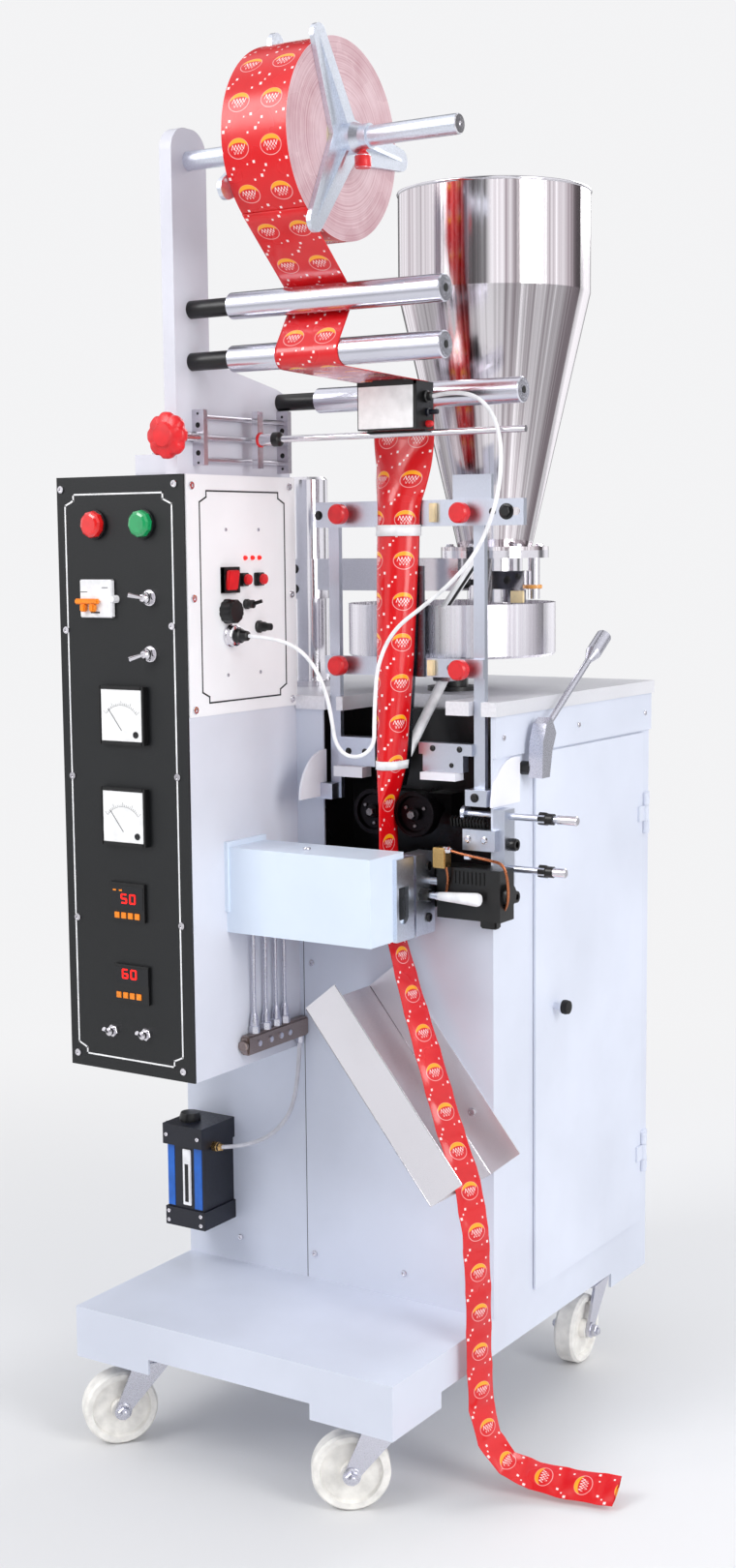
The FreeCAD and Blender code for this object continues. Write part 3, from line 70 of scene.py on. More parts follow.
class Look:
    """A node material in the making."""

    def __init__(self, name):
        self.mat = bpy.data.materials.new(name)
        self.mat.use_nodes = True
        self.tree = self.mat.node_tree
        self.bsdf = self.tree.nodes["Principled BSDF"]
        self.coord = self.add("ShaderNodeTexCoord").outputs["Object"]

    def add(self, kind, **values):
        node = self.tree.nodes.new(kind)
        for key, v in values.items():
            if hasattr(node, key) and key not in node.inputs:
                setattr(node, key, v)
            else:
                node.inputs[key].default_value = v
        return node

    def link(self, a, b):
        self.tree.links.new(a, b)

    def set(self, **values):
        for key, v in values.items():
            self.bsdf.inputs[key.replace("_", " ")].default_value = v

    def noise(self, scale, detail=3.0, stretch=(1, 1, 1), rough=0.5):
        m = self.add("ShaderNodeMapping")
        m.inputs["Scale"].default_value = stretch
        self.link(self.coord, m.inputs["Vector"])
        n = self.add("ShaderNodeTexNoise")
        n.inputs["Scale"].default_value = scale
        n.inputs["Detail"].default_value = detail
        n.inputs["Roughness"].default_value = rough
        self.link(m.outputs[0], n.inputs["Vector"])
        return n.outputs["Fac"]

    def ramp(self, fac, low, high, a, b):
        """fac from low to high mapped on a to b."""
        r = self.add("ShaderNodeMapRange")
        for key, v in (("From Min", low), ("From Max", high), ("To Min", a), ("To Max", b)):
            r.inputs[key].default_value = v
        self.link(fac, r.inputs["Value"])
        return r.outputs["Result"]

    def blend(self, fac, a, b):
        """Colour a to b by fac; a and b are colours or sockets."""
        m = self.add("ShaderNodeMix", data_type="RGBA")
        self.link(fac, m.inputs["Factor"])
        for v, s in ((a, m.inputs["A"]), (b, m.inputs["B"])):
            if isinstance(v, bpy.types.NodeSocket):
                self.link(v, s)
            else:
                s.default_value = v
        return m.outputs["Result"]

    def math(self, op, a, b=0.0):
        m = self.add("ShaderNodeMath", operation=op)
        for v, s in ((a, m.inputs[0]), (b, m.inputs[1])):
            if isinstance(v, bpy.types.NodeSocket):
                self.link(v, s)
            else:
                s.default_value = v
        return m.outputs[0]

    def bump(self, height, strength, distance=0.001):
        b = self.add("ShaderNodeBump", Strength=strength, Distance=distance)
        self.link(height, b.inputs["Height"])
        self.link(b.outputs["Normal"], self.bsdf.inputs["Normal"])

    def colour(self, socket):
        self.link(socket, self.bsdf.inputs["Base Color"])

    def rough(self, socket):
        self.link(socket, self.bsdf.inputs["Roughness"])


def shade(c, k):
    return tuple(min(1.0, v * k) for v in c)


def paint(name, c, rough=0.38, grime=0.06, peel=0.12):
    """Sprayed enamel: slight cloudiness, orange peel and dulled patches."""
    k = Look(name)
    cloud = k.noise(5.0, 4.0)
    k.colour(k.blend(k.ramp(cloud, 0.35, 0.7, 0, 1), linear(shade(c, 1 + grime * 0.4)), linear(shade(c, 1 - grime))))
    k.rough(k.ramp(k.noise(18.0, 3.0), 0.3, 0.7, rough - 0.05, rough + 0.09))
    k.bump(k.noise(420.0, 2.0), peel, 0.0004)
    return k.mat


def steel(name, c, rough=0.3, grain=(1, 1, 30), scale=30.0, streak=0.10, scratch=0.12):
    """Brushed or ground metal; grain squeezes the streaks across it."""
    k = Look(name)
    k.set(Metallic=1.0)
    fine = k.noise(scale * 8, 4.0, grain, 0.65)
    wide = k.noise(4.0, 3.0)
    mix = k.math("ADD", k.math("MULTIPLY", fine, 0.6), k.math("MULTIPLY", wide, 0.4))
    k.colour(k.blend(k.ramp(mix, 0.35, 0.65, 0, 1), linear(shade(c, 1 - streak)), linear(shade(c, 1 + streak * 0.4))))
    k.rough(k.ramp(mix, 0.3, 0.7, rough - 0.07, rough + 0.08))
    k.bump(fine, scratch, 0.0002)
    return k.mat


def plastic(name, c, rough=0.35, grain=300.0, bump=0.08, coat=0.0):
    k = Look(name)
    n = k.noise(60.0, 3.0)
    k.colour(k.blend(k.ramp(n, 0.3, 0.7, 0, 1), linear(shade(c, 0.94)), linear(shade(c, 1.05))))
    k.rough(k.ramp(k.noise(grain, 2.0), 0.3, 0.7, rough - 0.04, rough + 0.06))
    k.bump(k.noise(grain, 2.0), bump, 0.0003)
    if coat:
        k.set(Coat_Weight=coat)
    return k.mat


MAT = {
    "cabinet": paint("cabinet_paint", (0.84, 0.86, 0.915), 0.36, 0.035),
    "door": paint("door_paint", (0.85, 0.87, 0.925), 0.34, 0.035),
    "box": paint("box_paint", (0.85, 0.86, 0.90), 0.36, 0.035),
    "panel_black": paint("panel_black", (0.045, 0.055, 0.065), 0.42, 0.2, 0.25),
    "panel_white": paint("panel_white", (0.955, 0.955, 0.965), 0.4, 0.03),
    "white": paint("white_enamel", (0.93, 0.93, 0.96), 0.34, 0.04),
    "cover": paint("cover_enamel", (0.86, 0.905, 0.965), 0.34, 0.03),
    "stand": paint("stand_paint", (0.86, 0.86, 0.90), 0.4),
    "bay": paint("bay_black", (0.05, 0.045, 0.05), 0.3, 0.5, 0.3),
    "black": paint("blackened_steel", (0.045, 0.04, 0.04), 0.34, 0.4, 0.2),
    "top": steel("top_steel", (0.93, 0.93, 0.95), 0.36, (1, 30, 1), 30, 0.05),
    "steel_x": steel("steel_along_x", (0.80, 0.79, 0.82), 0.28, (1, 30, 30)),
    "steel_y": steel("steel_along_y", (0.80, 0.79, 0.82), 0.28, (30, 1, 30)),
    "steel_z": steel("steel_along_z", (0.80, 0.79, 0.82), 0.28, (30, 30, 1)),
    "chrome": steel("chrome_plate", (0.88, 0.87, 0.89), 0.12, (6, 6, 6), 10, 0.05, 0.03),
    "aluminium": steel("aluminium_bar", (0.83, 0.85, 0.90), 0.33, (30, 30, 1), 30, 0.09, 0.12),
    "aluminium_y": steel("aluminium_cast", (0.90, 0.92, 0.96), 0.34, (3, 3, 3), 20, 0.08, 0.15),
    "roller": steel("roller_aluminium", (0.86, 0.86, 0.90), 0.22, (60, 1, 1), 20, 0.08, 0.08),
    "dark_steel": steel("former_steel", (0.42, 0.43, 0.47), 0.24, (30, 30, 1), 20, 0.25, 0.1),
    "oiled": steel("oiled_steel", (0.46, 0.44, 0.45), 0.32, (4, 4, 4), 20, 0.3, 0.2),
    "brown_steel": steel("brown_steel", (0.62, 0.56, 0.54), 0.34, (4, 4, 4), 20, 0.18, 0.12),
    "iron": steel("oiled_iron", (0.12, 0.11, 0.12), 0.36, (4, 4, 4), 20, 0.4, 0.3),
    "zinc": steel("zinc_plate", (0.84, 0.84, 0.88), 0.28, (3, 3, 3), 30, 0.1, 0.1),
    "nylon": plastic("white_nylon", (0.94, 0.93, 0.91), 0.42, 500.0, 0.05),
    "glass_red": plastic("red_lens", (0.90, 0.10, 0.10), 0.12, 60.0, 0.3, 0.8),
    "glass_green": plastic("green_lens", (0.08, 0.62, 0.36), 0.12, 60.0, 0.3, 0.8),
    "orange": plastic("orange_toggle", (0.97, 0.55, 0.10), 0.3),
    "line_white": plastic("white_line", (0.95, 0.95, 0.96), 0.45),
    "line_grey": plastic("grey_tube", (0.80, 0.80, 0.83), 0.35),
    "line_black": plastic("black_line", (0.03, 0.04, 0.06), 0.45),
    "brass": steel("brass", (0.86, 0.70, 0.45), 0.25, (4, 4, 4), 20, 0.15, 0.1),
    "rubber": plastic("dull_rubber", (0.03, 0.03, 0.03), 0.65, 200.0, 0.3),
    "red": plastic("red_moulding", (0.87, 0.10, 0.13), 0.36, 200.0, 0.02, 0.15),
    "navy": plastic("dark_moulding", (0.07, 0.08, 0.13), 0.36, 300.0, 0.2),
    "blue": plastic("blue_band", (0.10, 0.38, 0.75), 0.35),
    "black_plastic": plastic("black_plastic", (0.045, 0.045, 0.05), 0.36),
    "white_plastic": plastic("white_plastic", (0.94, 0.94, 0.95), 0.34),
    "screen_white": plastic("screen_white", (0.985, 0.985, 0.985), 0.45, 300.0, 0.01),
    "ivory": plastic("ivory_block", (0.93, 0.85, 0.68), 0.45),
    "amber": plastic("amber_ring", (0.90, 0.62, 0.30), 0.3, 200.0, 0.05, 0.5),
    "chute": steel("chute_sheet", (0.90, 0.89, 0.91), 0.32, (30, 1, 30), 20, 0.08, 0.08),
    "copper": steel("copper_nut", (0.72, 0.44, 0.30), 0.28, (4, 4, 4), 20, 0.2, 0.1),
    "cable": plastic("white_jacket", (0.93, 0.93, 0.94), 0.42, 500.0, 0.05),
}


def rolled_steel_painted_reflections(name, light, dark, centre, rough=0.14):
    """Polished sheet rolled round an upright axis: fine polishing grain and broad bands of painted reflection, light
    and dark, run up and down.
    """
    k = Look(name)
    k.set(Metallic=1.0)
    sep = k.add("ShaderNodeSeparateXYZ")
    k.link(k.coord, sep.inputs[0])
    c = P(*centre, 0)
    angle = k.math("ARCTAN2", k.math("SUBTRACT", sep.outputs["Y"], c.y), k.math("SUBTRACT", sep.outputs["X"], c.x))

    def streaks(scale, detail):
        n = k.add("ShaderNodeTexNoise", noise_dimensions="1D")
        k.link(k.math("MULTIPLY", angle, scale), n.inputs["W"])
        n.inputs["Scale"].default_value = 1.0
        n.inputs["Detail"].default_value = detail
        return n.outputs["Fac"]

    fine = streaks(24.0, 4.0)
    # The broad noise carries most of the colour and paints reflection bands; the fine noise is polishing grain.
    mix = k.math("ADD", k.math("MULTIPLY", streaks(3.1, 2.0), 0.7), k.math("MULTIPLY", fine, 0.3))
    k.colour(k.blend(k.ramp(mix, 0.40, 0.58, 0, 1), linear(dark), linear(light)))
    k.rough(k.ramp(fine, 0.3, 0.7, rough - 0.05, rough + 0.06))
    k.bump(fine, 0.06, 0.0002)
    return k.mat


# Hopper and filler pan: the light and dark bands round their axes are painted reflections.
MAT["mirror"] = rolled_steel_painted_reflections("mirror_steel", (0.98, 0.96, 0.97), (0.60, 0.55, 0.57), (158, 420))
MAT["pan"] = rolled_steel_painted_reflections("pan_steel", (0.96, 0.95, 0.97), (0.80, 0.78, 0.81), (91, 420), 0.26)
MAT["top"].node_tree.nodes["Principled BSDF"].inputs["Metallic"].default_value = 0.35
MAT["chute"].node_tree.nodes["Principled BSDF"].inputs["Metallic"].default_value = 0.7


# Mesh makers, in the drawing's millimetres
def finish_mesh(bm, name, mat, body, smooth=40.0):
    """Turn a bmesh into a piece that rides on a body."""
    me = bpy.data.meshes.new(name)
    bm.normal_update()
    bm.to_mesh(me)
    bm.free()
    ob = bpy.data.objects.new(name, me)
    bpy.context.scene.collection.objects.link(ob)
    me.materials.append(MAT[mat] if isinstance(mat, str) else mat)
    me.shade_smooth()
    me.set_sharp_from_angle(angle=math.radians(smooth))
    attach(ob, body)
    return ob


def block(bm, x, y, z, dx, dy, dz, bevel=0.6, turn=None):
    """A box with its low corner at x, y, z and its edges broken."""
    new = bmesh.ops.create_cube(bm, size=1.0)["verts"]
    c = P(x + dx / 2, y + dy / 2, z + dz / 2)
    for v in new:
        v.co = Vector((v.co.x * dx, v.co.y * dy, v.co.z * dz)) / 1000
        if turn:
            v.co.rotate(turn)
        v.co += c
    if bevel:
        edges = list({e for v in new for e in v.link_edges})
        bmesh.ops.bevel(bm, geom=edges, offset=bevel / 1000, segments=2, affect="EDGES")


AXES = {"X": Vector((1, 0, 0)), "Y": Vector((0, 1, 0)), "Z": Vector((0, 0, 1))}


def lathe(bm, centre, axis, profile, n=32, phase=0.0, lobes=0, depth=0.0):
    """Turn a profile of (radius, distance along the axis) about an axis through centre, a point in mm."""
    a = AXES[axis] if isinstance(axis, str) else Vector(axis).normalized()
    u = a.orthogonal().normalized()
    w = a.cross(u)
    c = P(*centre)
    rings = []
    for r, d in profile:
        ring = []
        for i in range(n):
            t = phase + 2 * math.pi * i / n
            k = 1 - depth * (0.5 - 0.5 * math.cos(lobes * t)) ** 3 if lobes and r > 0.6 * max(p[0] for p in profile) else 1
            ring.append(bm.verts.new(c + (u * math.cos(t) + w * math.sin(t)) * (max(r, 0.01) * k / 1000) + a * (d / 1000)))
        rings.append(ring)
    for p, q in zip(rings, rings[1:]):
        for i in range(n):
            bm.faces.new((p[i], p[(i + 1) % n], q[(i + 1) % n], q[i]))
    bm.faces.new(rings[0][::-1])
    bm.faces.new(rings[-1])


def drum(bm, centre, axis, radius, start, end, n=28, edge=0.6):
    """A plain turned length with its two edges broken."""
    s = 1 if end > start else -1
    lathe(bm, centre, axis, [(radius - edge, start), (radius, start + s * edge), (radius, end - s * edge),
                             (radius - edge, end)], n)


def bolt(bm, centre, axis, r, h=None, sides=6):
    """A bolt head with a recess: axis points out of the surface."""
    h = h or r * 0.9
    if sides == 6:
        lathe(bm, centre, axis, [(r, 0), (r, h * 0.85), (r * 0.86, h)], 6)
        lathe(bm, centre, axis, [(r * 1.35, 0), (r * 1.35, h * 0.18), (r * 1.25, h * 0.25)], 20)
    else:
        lathe(bm, centre, axis, [(r * 0.95, 0), (r, h * 0.1), (r, h * 0.8), (r * 0.9, h), (r * 0.5, h), (r * 0.45, h * 0.5)], 20)


def swept(bm, points, radius, n=12, closed_ends=True, scale=None):
    """A round bar along points given in the frame's metres."""
    pts = [Vector(p) for p in points]
    rings = []
    normal = None
    for i, p in enumerate(pts):
        t = (pts[min(i + 1, len(pts) - 1)] - pts[max(i - 1, 0)]).normalized()
        normal = t.orthogonal().normalized() if normal is None else (normal - t * normal.dot(t)).normalized()
        w = t.cross(normal)
        r = radius / 1000 * (scale(i / (len(pts) - 1)) if scale else 1)
        rings.append([bm.verts.new(p + (normal * math.cos(2 * math.pi * k / n) + w * math.sin(2 * math.pi * k / n)) * r)
                      for k in range(n)])
    for p, q in zip(rings, rings[1:]):
        for k in range(n):
            bm.faces.new((p[k], p[(k + 1) % n], q[(k + 1) % n], q[k]))
    if closed_ends:
        bm.faces.new(rings[0][::-1])
        bm.faces.new(rings[-1])


def curve_points(points, steps=10):
    """Smooth points through a spline with the given control points, read from a NURBS curve."""
    cu = bpy.data.curves.new("route", "CURVE")
    cu.dimensions = "3D"
    sp = cu.splines.new("NURBS")
    sp.points.add(len(points) - 1)
    for s, p in zip(sp.points, points):
        s.co = (*P(*p), 1)
    sp.order_u = 3
    sp.use_endpoint_u = True
    sp.resolution_u = steps
    ob = bpy.data.objects.new("route", cu)
    me = bpy.data.meshes.new_from_object(ob)
    pts = [v.co.copy() for v in me.vertices]
    bpy.data.objects.remove(ob)
    bpy.data.meshes.remove(me)
    bpy.data.curves.remove(cu)
    return pts


# The sensor's cable, from its gland to its plug on the white plate
CABLE = [
    (225, 147, 1380), (262, 145, 1385), (301, 141, 1372), (323, 138, 1336), (326, 137, 1290),
    (316, 138, 1243), (293, 141, 1198), (257, 144, 1160), (211, 147, 1128), (166, 149, 1099),
    (143, 148, 1056), (139, 148, 1010), (138, 147.5, 978), (138, 147, 955), (121.7, 145, 938.7),
    (98.7, 141, 938.7), (85, 138, 956), (84, 134, 981), (80, 129, 1016), (70, 121, 1049), (50, 113, 1075),
    (16, 105, 1088), (-20, 102, 1090),
]
cu = bpy.data.curves.new("sensor_lead", "CURVE")
cu.dimensions = "3D"
sp = cu.splines.new("NURBS")
sp.points.add(len(CABLE) - 1)
for s, p in zip(sp.points, CABLE):
    s.co = (*P(*p), 1)
sp.order_u = 3
sp.use_endpoint_u = True
sp.resolution_u = 12
cu.bevel_depth = 0.0025
cu.bevel_resolution = 5
cu.use_fill_caps = True
cu.materials.append(MAT["cable"])
lead = bpy.data.objects.new("sensor_lead", cu)
bpy.context.scene.collection.objects.link(lead)
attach(lead, "machine")
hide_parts("sensor_cable")

bm = bmesh.new()
lathe(bm, (-50, 102, 1090), "X", [(9.4, 9), (9.4, 18), (7.5, 19.5), (6.2, 28), (3.4, 30)], 28)
plug = finish_mesh(bm, "lead_plug", "black_plastic", "machine")
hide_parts("sensor_plug")

# Film: printed web with its own surface coordinates
FILM_X, FILM_W, WEB_SHIFT, PITCH = 115.0, 90.0, 8.0, 52.0
REEL = (45.0, 1669.5, 114.5)


def print_look(k, u, row):
    """Two rows of pouch fronts on red: an amber cap over white waves in a thin ring, and small white squares."""
    def oval(cx, cy, rx, ry, soft=0.07):
        d = k.math("ADD", k.math("POWER", k.math("DIVIDE", k.math("ABSOLUTE", k.math("SUBTRACT", u, cx)), rx), 2.0),
                   k.math("POWER", k.math("DIVIDE", k.math("ABSOLUTE", k.math("SUBTRACT", row, cy)), ry), 2.0))
        return k.ramp(d, 1.0 - soft, 1.0 + soft, 1.0, 0.0)

    def square(cx, cy, half):
        a = k.math("ABSOLUTE", k.math("SUBTRACT", u, cx))
        b = k.math("ABSOLUTE", k.math("SUBTRACT", row, cy))
        return k.ramp(k.math("MAXIMUM", a, b), half - 0.15, half + 0.15, 1.0, 0.0)

    out = k.blend(k.ramp(k.noise(6.0, 3.0), 0.35, 0.65, 0, 1), linear((0.81, 0.03, 0.07)), linear((0.87, 0.06, 0.09)))
    amber, white = linear((0.99, 0.66, 0.08)), linear((0.98, 0.90, 0.90))
    for cx in (-22.5, 22.5):
        ring = k.math("SUBTRACT", oval(cx, 24, 14.5, 11.5, 0.04), oval(cx, 24, 13.7, 10.7, 0.04))
        out = k.blend(k.math("MULTIPLY", ring, 0.55), out, white)
        cap = k.math("MULTIPLY", oval(cx, 26, 13.0, 9.4), k.math("SUBTRACT", 1.0, oval(cx, 21.4, 15.0, 9.0)))
        out = k.blend(cap, out, amber)
        wave = k.math("MULTIPLY", k.math("SINE", k.math("MULTIPLY", k.math("SUBTRACT", u, cx), 1.5)), 2.0)
        for level, half, thick in ((25.5, 9.5, 1.0), (20.5, 6.5, 0.6)):
            off = k.math("ABSOLUTE", k.math("SUBTRACT", k.math("SUBTRACT", row, wave), level))
            line = k.math("MULTIPLY", k.ramp(off, thick - 0.2, thick + 0.2, 1.0, 0.0),
                          k.ramp(k.math("ABSOLUTE", k.math("SUBTRACT", u, cx)), half - 0.2, half + 0.2, 1.0, 0.0))
            out = k.blend(line, out, white)
        for dx, dv, half in ((-19.5, 44, 1.7), (-15, 49, 1.0), (-11, 3, 1.5), (14.5, 40, 1.2), (18.5, 8, 1.6), (9, 6, 0.9)):
            out = k.blend(square(cx + dx, dv, half), out, white)
    return out


def film_look(name):
    """Glossy printed film; u runs across and v along, in millimetres."""
    k = Look(name)
    sep = k.add("ShaderNodeSeparateXYZ")
    k.link(k.add("ShaderNodeUVMap").outputs[0], sep.inputs[0])
    row = k.math("MODULO", k.math("ADD", sep.outputs["Y"], 1000 * PITCH), PITCH)
    k.colour(print_look(k, sep.outputs["X"], row))
    k.set(Coat_Weight=0.25, Coat_Roughness=0.08)
    k.rough(k.ramp(k.noise(12.0, 3.0), 0.3, 0.7, 0.16, 0.30))
    k.bump(k.noise(26.0, 3.0, (1, 1, 0.5)), 0.45, 0.003)
    return k.mat


MAT["film"] = film_look("film_print")

RING = 16.0 + 0.8
CIRCLES = [(REEL[0], REEL[1], REEL[2] + 0.8, 1), (45.0, 1492.0, RING, -1), (45.0, 1429.0, RING, 1), (230.0, 1389.0, RING, -1)]


def belt_line(circles, end, step=2.0):
    """Points down the middle of the web from the roll over the guide rollers."""
    runs = []
    for (ay, az, ar, sa), (by, bz, br, sb) in zip(circles, circles[1:]):
        d = Vector((by - ay, bz - az))
        th = math.atan2(d.y, d.x) - math.asin((sb * br - sa * ar) / d.length)
        n = Vector((-math.sin(th), math.cos(th)))
        runs.append((Vector((ay, az)) - n * sa * ar, Vector((by, bz)) - n * sb * br, th))
    pts = []
    for i, (p, q, th) in enumerate(runs):
        n = max(2, int((q - p).length / 12))
        pts += [p.lerp(q, k / n) for k in range(n + 1)]
        cy, cz, r, s = circles[i + 1]
        after = runs[i + 1][2] if i + 1 < len(runs) else end
        turn = (after - th + math.pi) % (2 * math.pi) - math.pi
        m = max(3, int(abs(turn) / 0.12))
        for k in range(1, m):
            a = th + turn * k / m
            pts.append(Vector((cy, cz)) - Vector((-math.sin(a), math.cos(a))) * s * r)
    a = end
    cy, cz, r, s = circles[-1]
    pts.append(Vector((cy, cz)) - Vector((-math.sin(a), math.cos(a))) * s * r)
    return pts


# height, radius of the round nose, its Y, and how far the web still stands to the right
FOLDS = [(1342.0, 20000.0, 246.4, 8.0), (1300.0, 60.0, 236.0, 4.0), (1258.0, 33.0, 222.8, 0.0),
         (1243.0, 31.0, 221.6, 0.0), (1157.0, 28.6, 216.0, 0.0), (1057.0, 24.0, 211.0, 0.0),
         (985.0, 19.0, 206.0, 0.0), (918.0, 14.0, 200.0, 0.0), (892.0, 7.5, 195.3, 0.0),
         (872.0, 1.3, 192.0, 0.0), (752.0, 1.3, 192.0, 0.0)]


def fold_at(z):
    """The fold's radius, nose and sideways shift at one height."""
    for (za, ra, na, sa), (zb, rb, nb, sb) in zip(FOLDS, FOLDS[1:]):
        if zb <= z <= za:
            f = (za - z) / (za - zb)
            curv = (1 / ra) * (1 - f) + (1 / rb) * f if ra > 100 else 1 / (ra * (1 - f) + rb * f)
            return 1 / curv, na + (nb - na) * f, sa + (sb - sa) * f
    return FOLDS[-1][1:]


def fold_point(t, radius, nose, inset):
    """Where the web's point t mm from its middle lies when it is folded to a round nose."""
    half = min(math.pi, FILM_W / radius) / 2
    r = radius - inset
    arc = min(abs(t), radius * half)
    a = arc / radius
    x = r * math.sin(a)
    y = nose + inset + r - r * math.cos(a)
    return math.copysign(x, t), y + (abs(t) - arc)


def film_web():
    """One sheet from the roll over the rollers, then folded down round the former."""
    rows = [(None, p) for p in belt_line(CIRCLES, -math.pi / 2) if p.y > 1346 or p.x < 200]
    heights = [FOLDS[0][0] - 8.0 * i for i in range(int((FOLDS[0][0] - FOLDS[-1][0]) / 8.0) + 1)] + [FOLDS[-1][0]]
    rows += [(z, fold_at(z)) for z in heights]
    cols = [-45 + 90 * i / 28 for i in range(29)]
    bm = bmesh.new()
    uvl = bm.loops.layers.uv.new("UVMap")
    grid, length, before = [], 0.0, None
    for z, val in rows:
        here = val if z is None else Vector((val[1], z))
        length += (here - before).length if before else 0.0
        before = here
        ring = []
        for t in cols:
            if z is None:
                q = (FILM_X + WEB_SHIFT + t, val.x, val.y)
            else:
                x, y = fold_point(t, val[0], val[1], 0.3)
                q = (FILM_X + val[2] + x, y, z)
            ring.append((bm.verts.new(P(*q)), t, length))
        grid.append(ring)
    for a, b in zip(grid, grid[1:]):
        for i in range(len(cols) - 1):
            quad = (a[i], a[i + 1], b[i + 1], b[i])
            f = bm.faces.new([q[0] for q in quad])
            for loop, q in zip(f.loops, quad):
                loop[uvl].uv = (q[1], -q[2])
    ob = finish_mesh(bm, "film", "film", "machine", 60)
    skin = ob.modifiers.new("thick", "SOLIDIFY")
    skin.thickness, skin.offset = 0.0004, 0
    return ob


film = film_web()
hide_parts("film_web")


def film_collar(z0, z1, out, name, mat):
    """A strap that follows the folded film at one height."""
    bm = bmesh.new()
    rings = []
    for z in (z0, z1):
        radius, nose, shift = fold_at(z)
        ring = []
        for i in range(33):
            t = -50 + 100 * i / 32
            x, y = fold_point(t, radius + out, nose - out, 0.0)
            ring.append(bm.verts.new(P(FILM_X + shift + x, min(y, 249.5), z)))
        rings.append(ring)
    for i in range(32):
        bm.faces.new((rings[0][i], rings[1][i], rings[1][i + 1], rings[0][i + 1]))
    ob = finish_mesh(bm, name, mat, "machine", 60)
    skin = ob.modifiers.new("thick", "SOLIDIFY")
    skin.thickness, skin.offset = 0.0008, 0


film_collar(1214, 1228, 1.2, "collar_upper", "white_plastic")
film_collar(916, 927, 1.0, "collar_lower", "white_plastic")


# The pouch strip: two printed skins that bulge between flat cross seals
STRIP = [
    ((115, 214, 744), (0, 1, 0), (1, 0, 0)), ((125, 213, 704), (0, 1, 0), (1, 0, 0.2)),
    ((150, 209, 630), (0.15, 1, 0), (1, -0.15, 0.35)), ((183, 202, 546), (0.3, 1, 0), (1, -0.3, 0.4)),
    ((216.6, 191, 468), (0.35, 1, 0), (1, -0.35, 0.45)), ((253.7, 176, 400), (0.35, 1, 0), (1, -0.35, 0.3)),
    ((267.4, 172, 340), (0.35, 1, 0), (1, -0.35, 0.1)), ((272, 171, 260), (0.3, 1, 0), (1, -0.3, 0)),
    ((272, 172, 180), (0.3, 1, 0), (1, -0.3, 0)), ((273, 176, 110), (0.3, 1, 0), (1, -0.3, 0.2)),
    ((281, 182, 66), (0.2, 1, 0.1), (1, -0.2, 0.6)), ((303, 189, 36), (0, 1, 0.3), (0.7, -0.2, 1)),
    ((338, 198, 24), (-0.1, 1, 0.5), (0.2, -0.5, 1)), ((384, 208, 20), (-0.1, 1, 0.65), (0, -0.65, 1)),
    ((442, 222, 20), (-0.1, 1, 0.7), (0, -0.7, 1)),
]


def strip_mesh():
    """The strip as a grid of two skins; the place and twist follow the stations."""
    stations = [(Vector(c), Vector(w).normalized(), Vector(n).normalized()) for c, w, n in STRIP]
    fine, dist = [], 0.0
    for (ca, wa, na), (cb, wb, nb) in zip(stations, stations[1:]):
        n = max(2, int((cb - ca).length / 4))
        for k in range(n):
            f = k / n
            fine.append((ca.lerp(cb, f), wa.lerp(wb, f).normalized(), na.lerp(nb, f), dist + (cb - ca).length * f))
        dist += (cb - ca).length
    fine.append((*stations[-1], dist))
    bm = bmesh.new()
    uvl = bm.loops.layers.uv.new("UVMap")
    cols = [-22.5 + 45 * i / 12 for i in range(13)]
    for side in (1, -1):
        grid = []
        for c, w, n, d in fine:
            n = (n - w * n.dot(w)).normalized()
            place = (d + 8) % PITCH
            full = max(0.0, math.sin(math.pi * max(0.0, min(1.0, (place - 4) / (PITCH - 8))))) ** 0.55
            ring = []
            for t in cols:
                edge = max(0.0, 1 - (abs(t) / 20.0) ** 3)
                narrow = 1 - 0.05 * full
                q = c + w * (t * narrow) + n * (side * (0.15 + 3.2 * full * edge))
                ring.append((bm.verts.new(P(*q)), t * side + 22.5 * side, d))
            grid.append(ring)
        for a, b in zip(grid, grid[1:]):
            for i in range(len(cols) - 1):
                quad = (a[i], a[i + 1], b[i + 1], b[i]) if side > 0 else (a[i], b[i], b[i + 1], a[i + 1])
                f = bm.faces.new([q[0] for q in quad])
                for loop, q in zip(f.loops, quad):
                    loop[uvl].uv = (q[1], -q[2] - 8)
    return finish_mesh(bm, "pouches", "film", "machine", 60)


pouches = strip_mesh()
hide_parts("pouch_strip")

# Materials of the pieces that come over from the drawing as they are
DRESS = {
    "platform": "cabinet", "front_wall": "cabinet", "rear_walls": "cabinet", "right_wall": "cabinet", "door": "door",
    "top_plate": "top", "mechanism_bay": "bay", "control_box": "box", "control_panel": "panel_black",
    "photo_panel": "panel_white", "reel_stand": "stand", "roller_spindles": "black", "adjuster_frame": "steel_y",
    "sensor_carriage": "chrome", "sensor_box": "black_plastic", "hopper_post": "chrome",
    "hopper": "mirror", "hopper_gate": "chrome", "filler_pan": "pan", "pan_bearing": "black",
    "former_frame": "aluminium", "former_knobs": "red", "former_tube": "dark_steel", "jaw_cover": "cover",
    "side_bar": "aluminium", "cheek_plates": "white", "chute": "chute", "oiler": "navy",
    "lever_boss": "black", "clutch_lever": "zinc", "reel_spider": "aluminium_y", "draw_wheel_left": "iron",
    "draw_wheel_right": "iron", "guide_roller_upper": "roller", "guide_roller_lower": "roller",
    "guide_roller_rear": "roller", "seal_jaw": "aluminium_y", "seal_jaw_fixed": "aluminium_y", "panel_meters": "black_plastic",
    "panel_lamps": "line_black", "jaw_drive": "black", "panel_displays": "black_plastic", "panel_switches": "black_plastic",
    "photo_controls": "black_plastic",
}
for corner in ("front_left", "front_right", "back_left", "back_right"):
    DRESS["caster_fork_" + corner] = "zinc"
    DRESS["caster_wheel_" + corner] = "nylon"
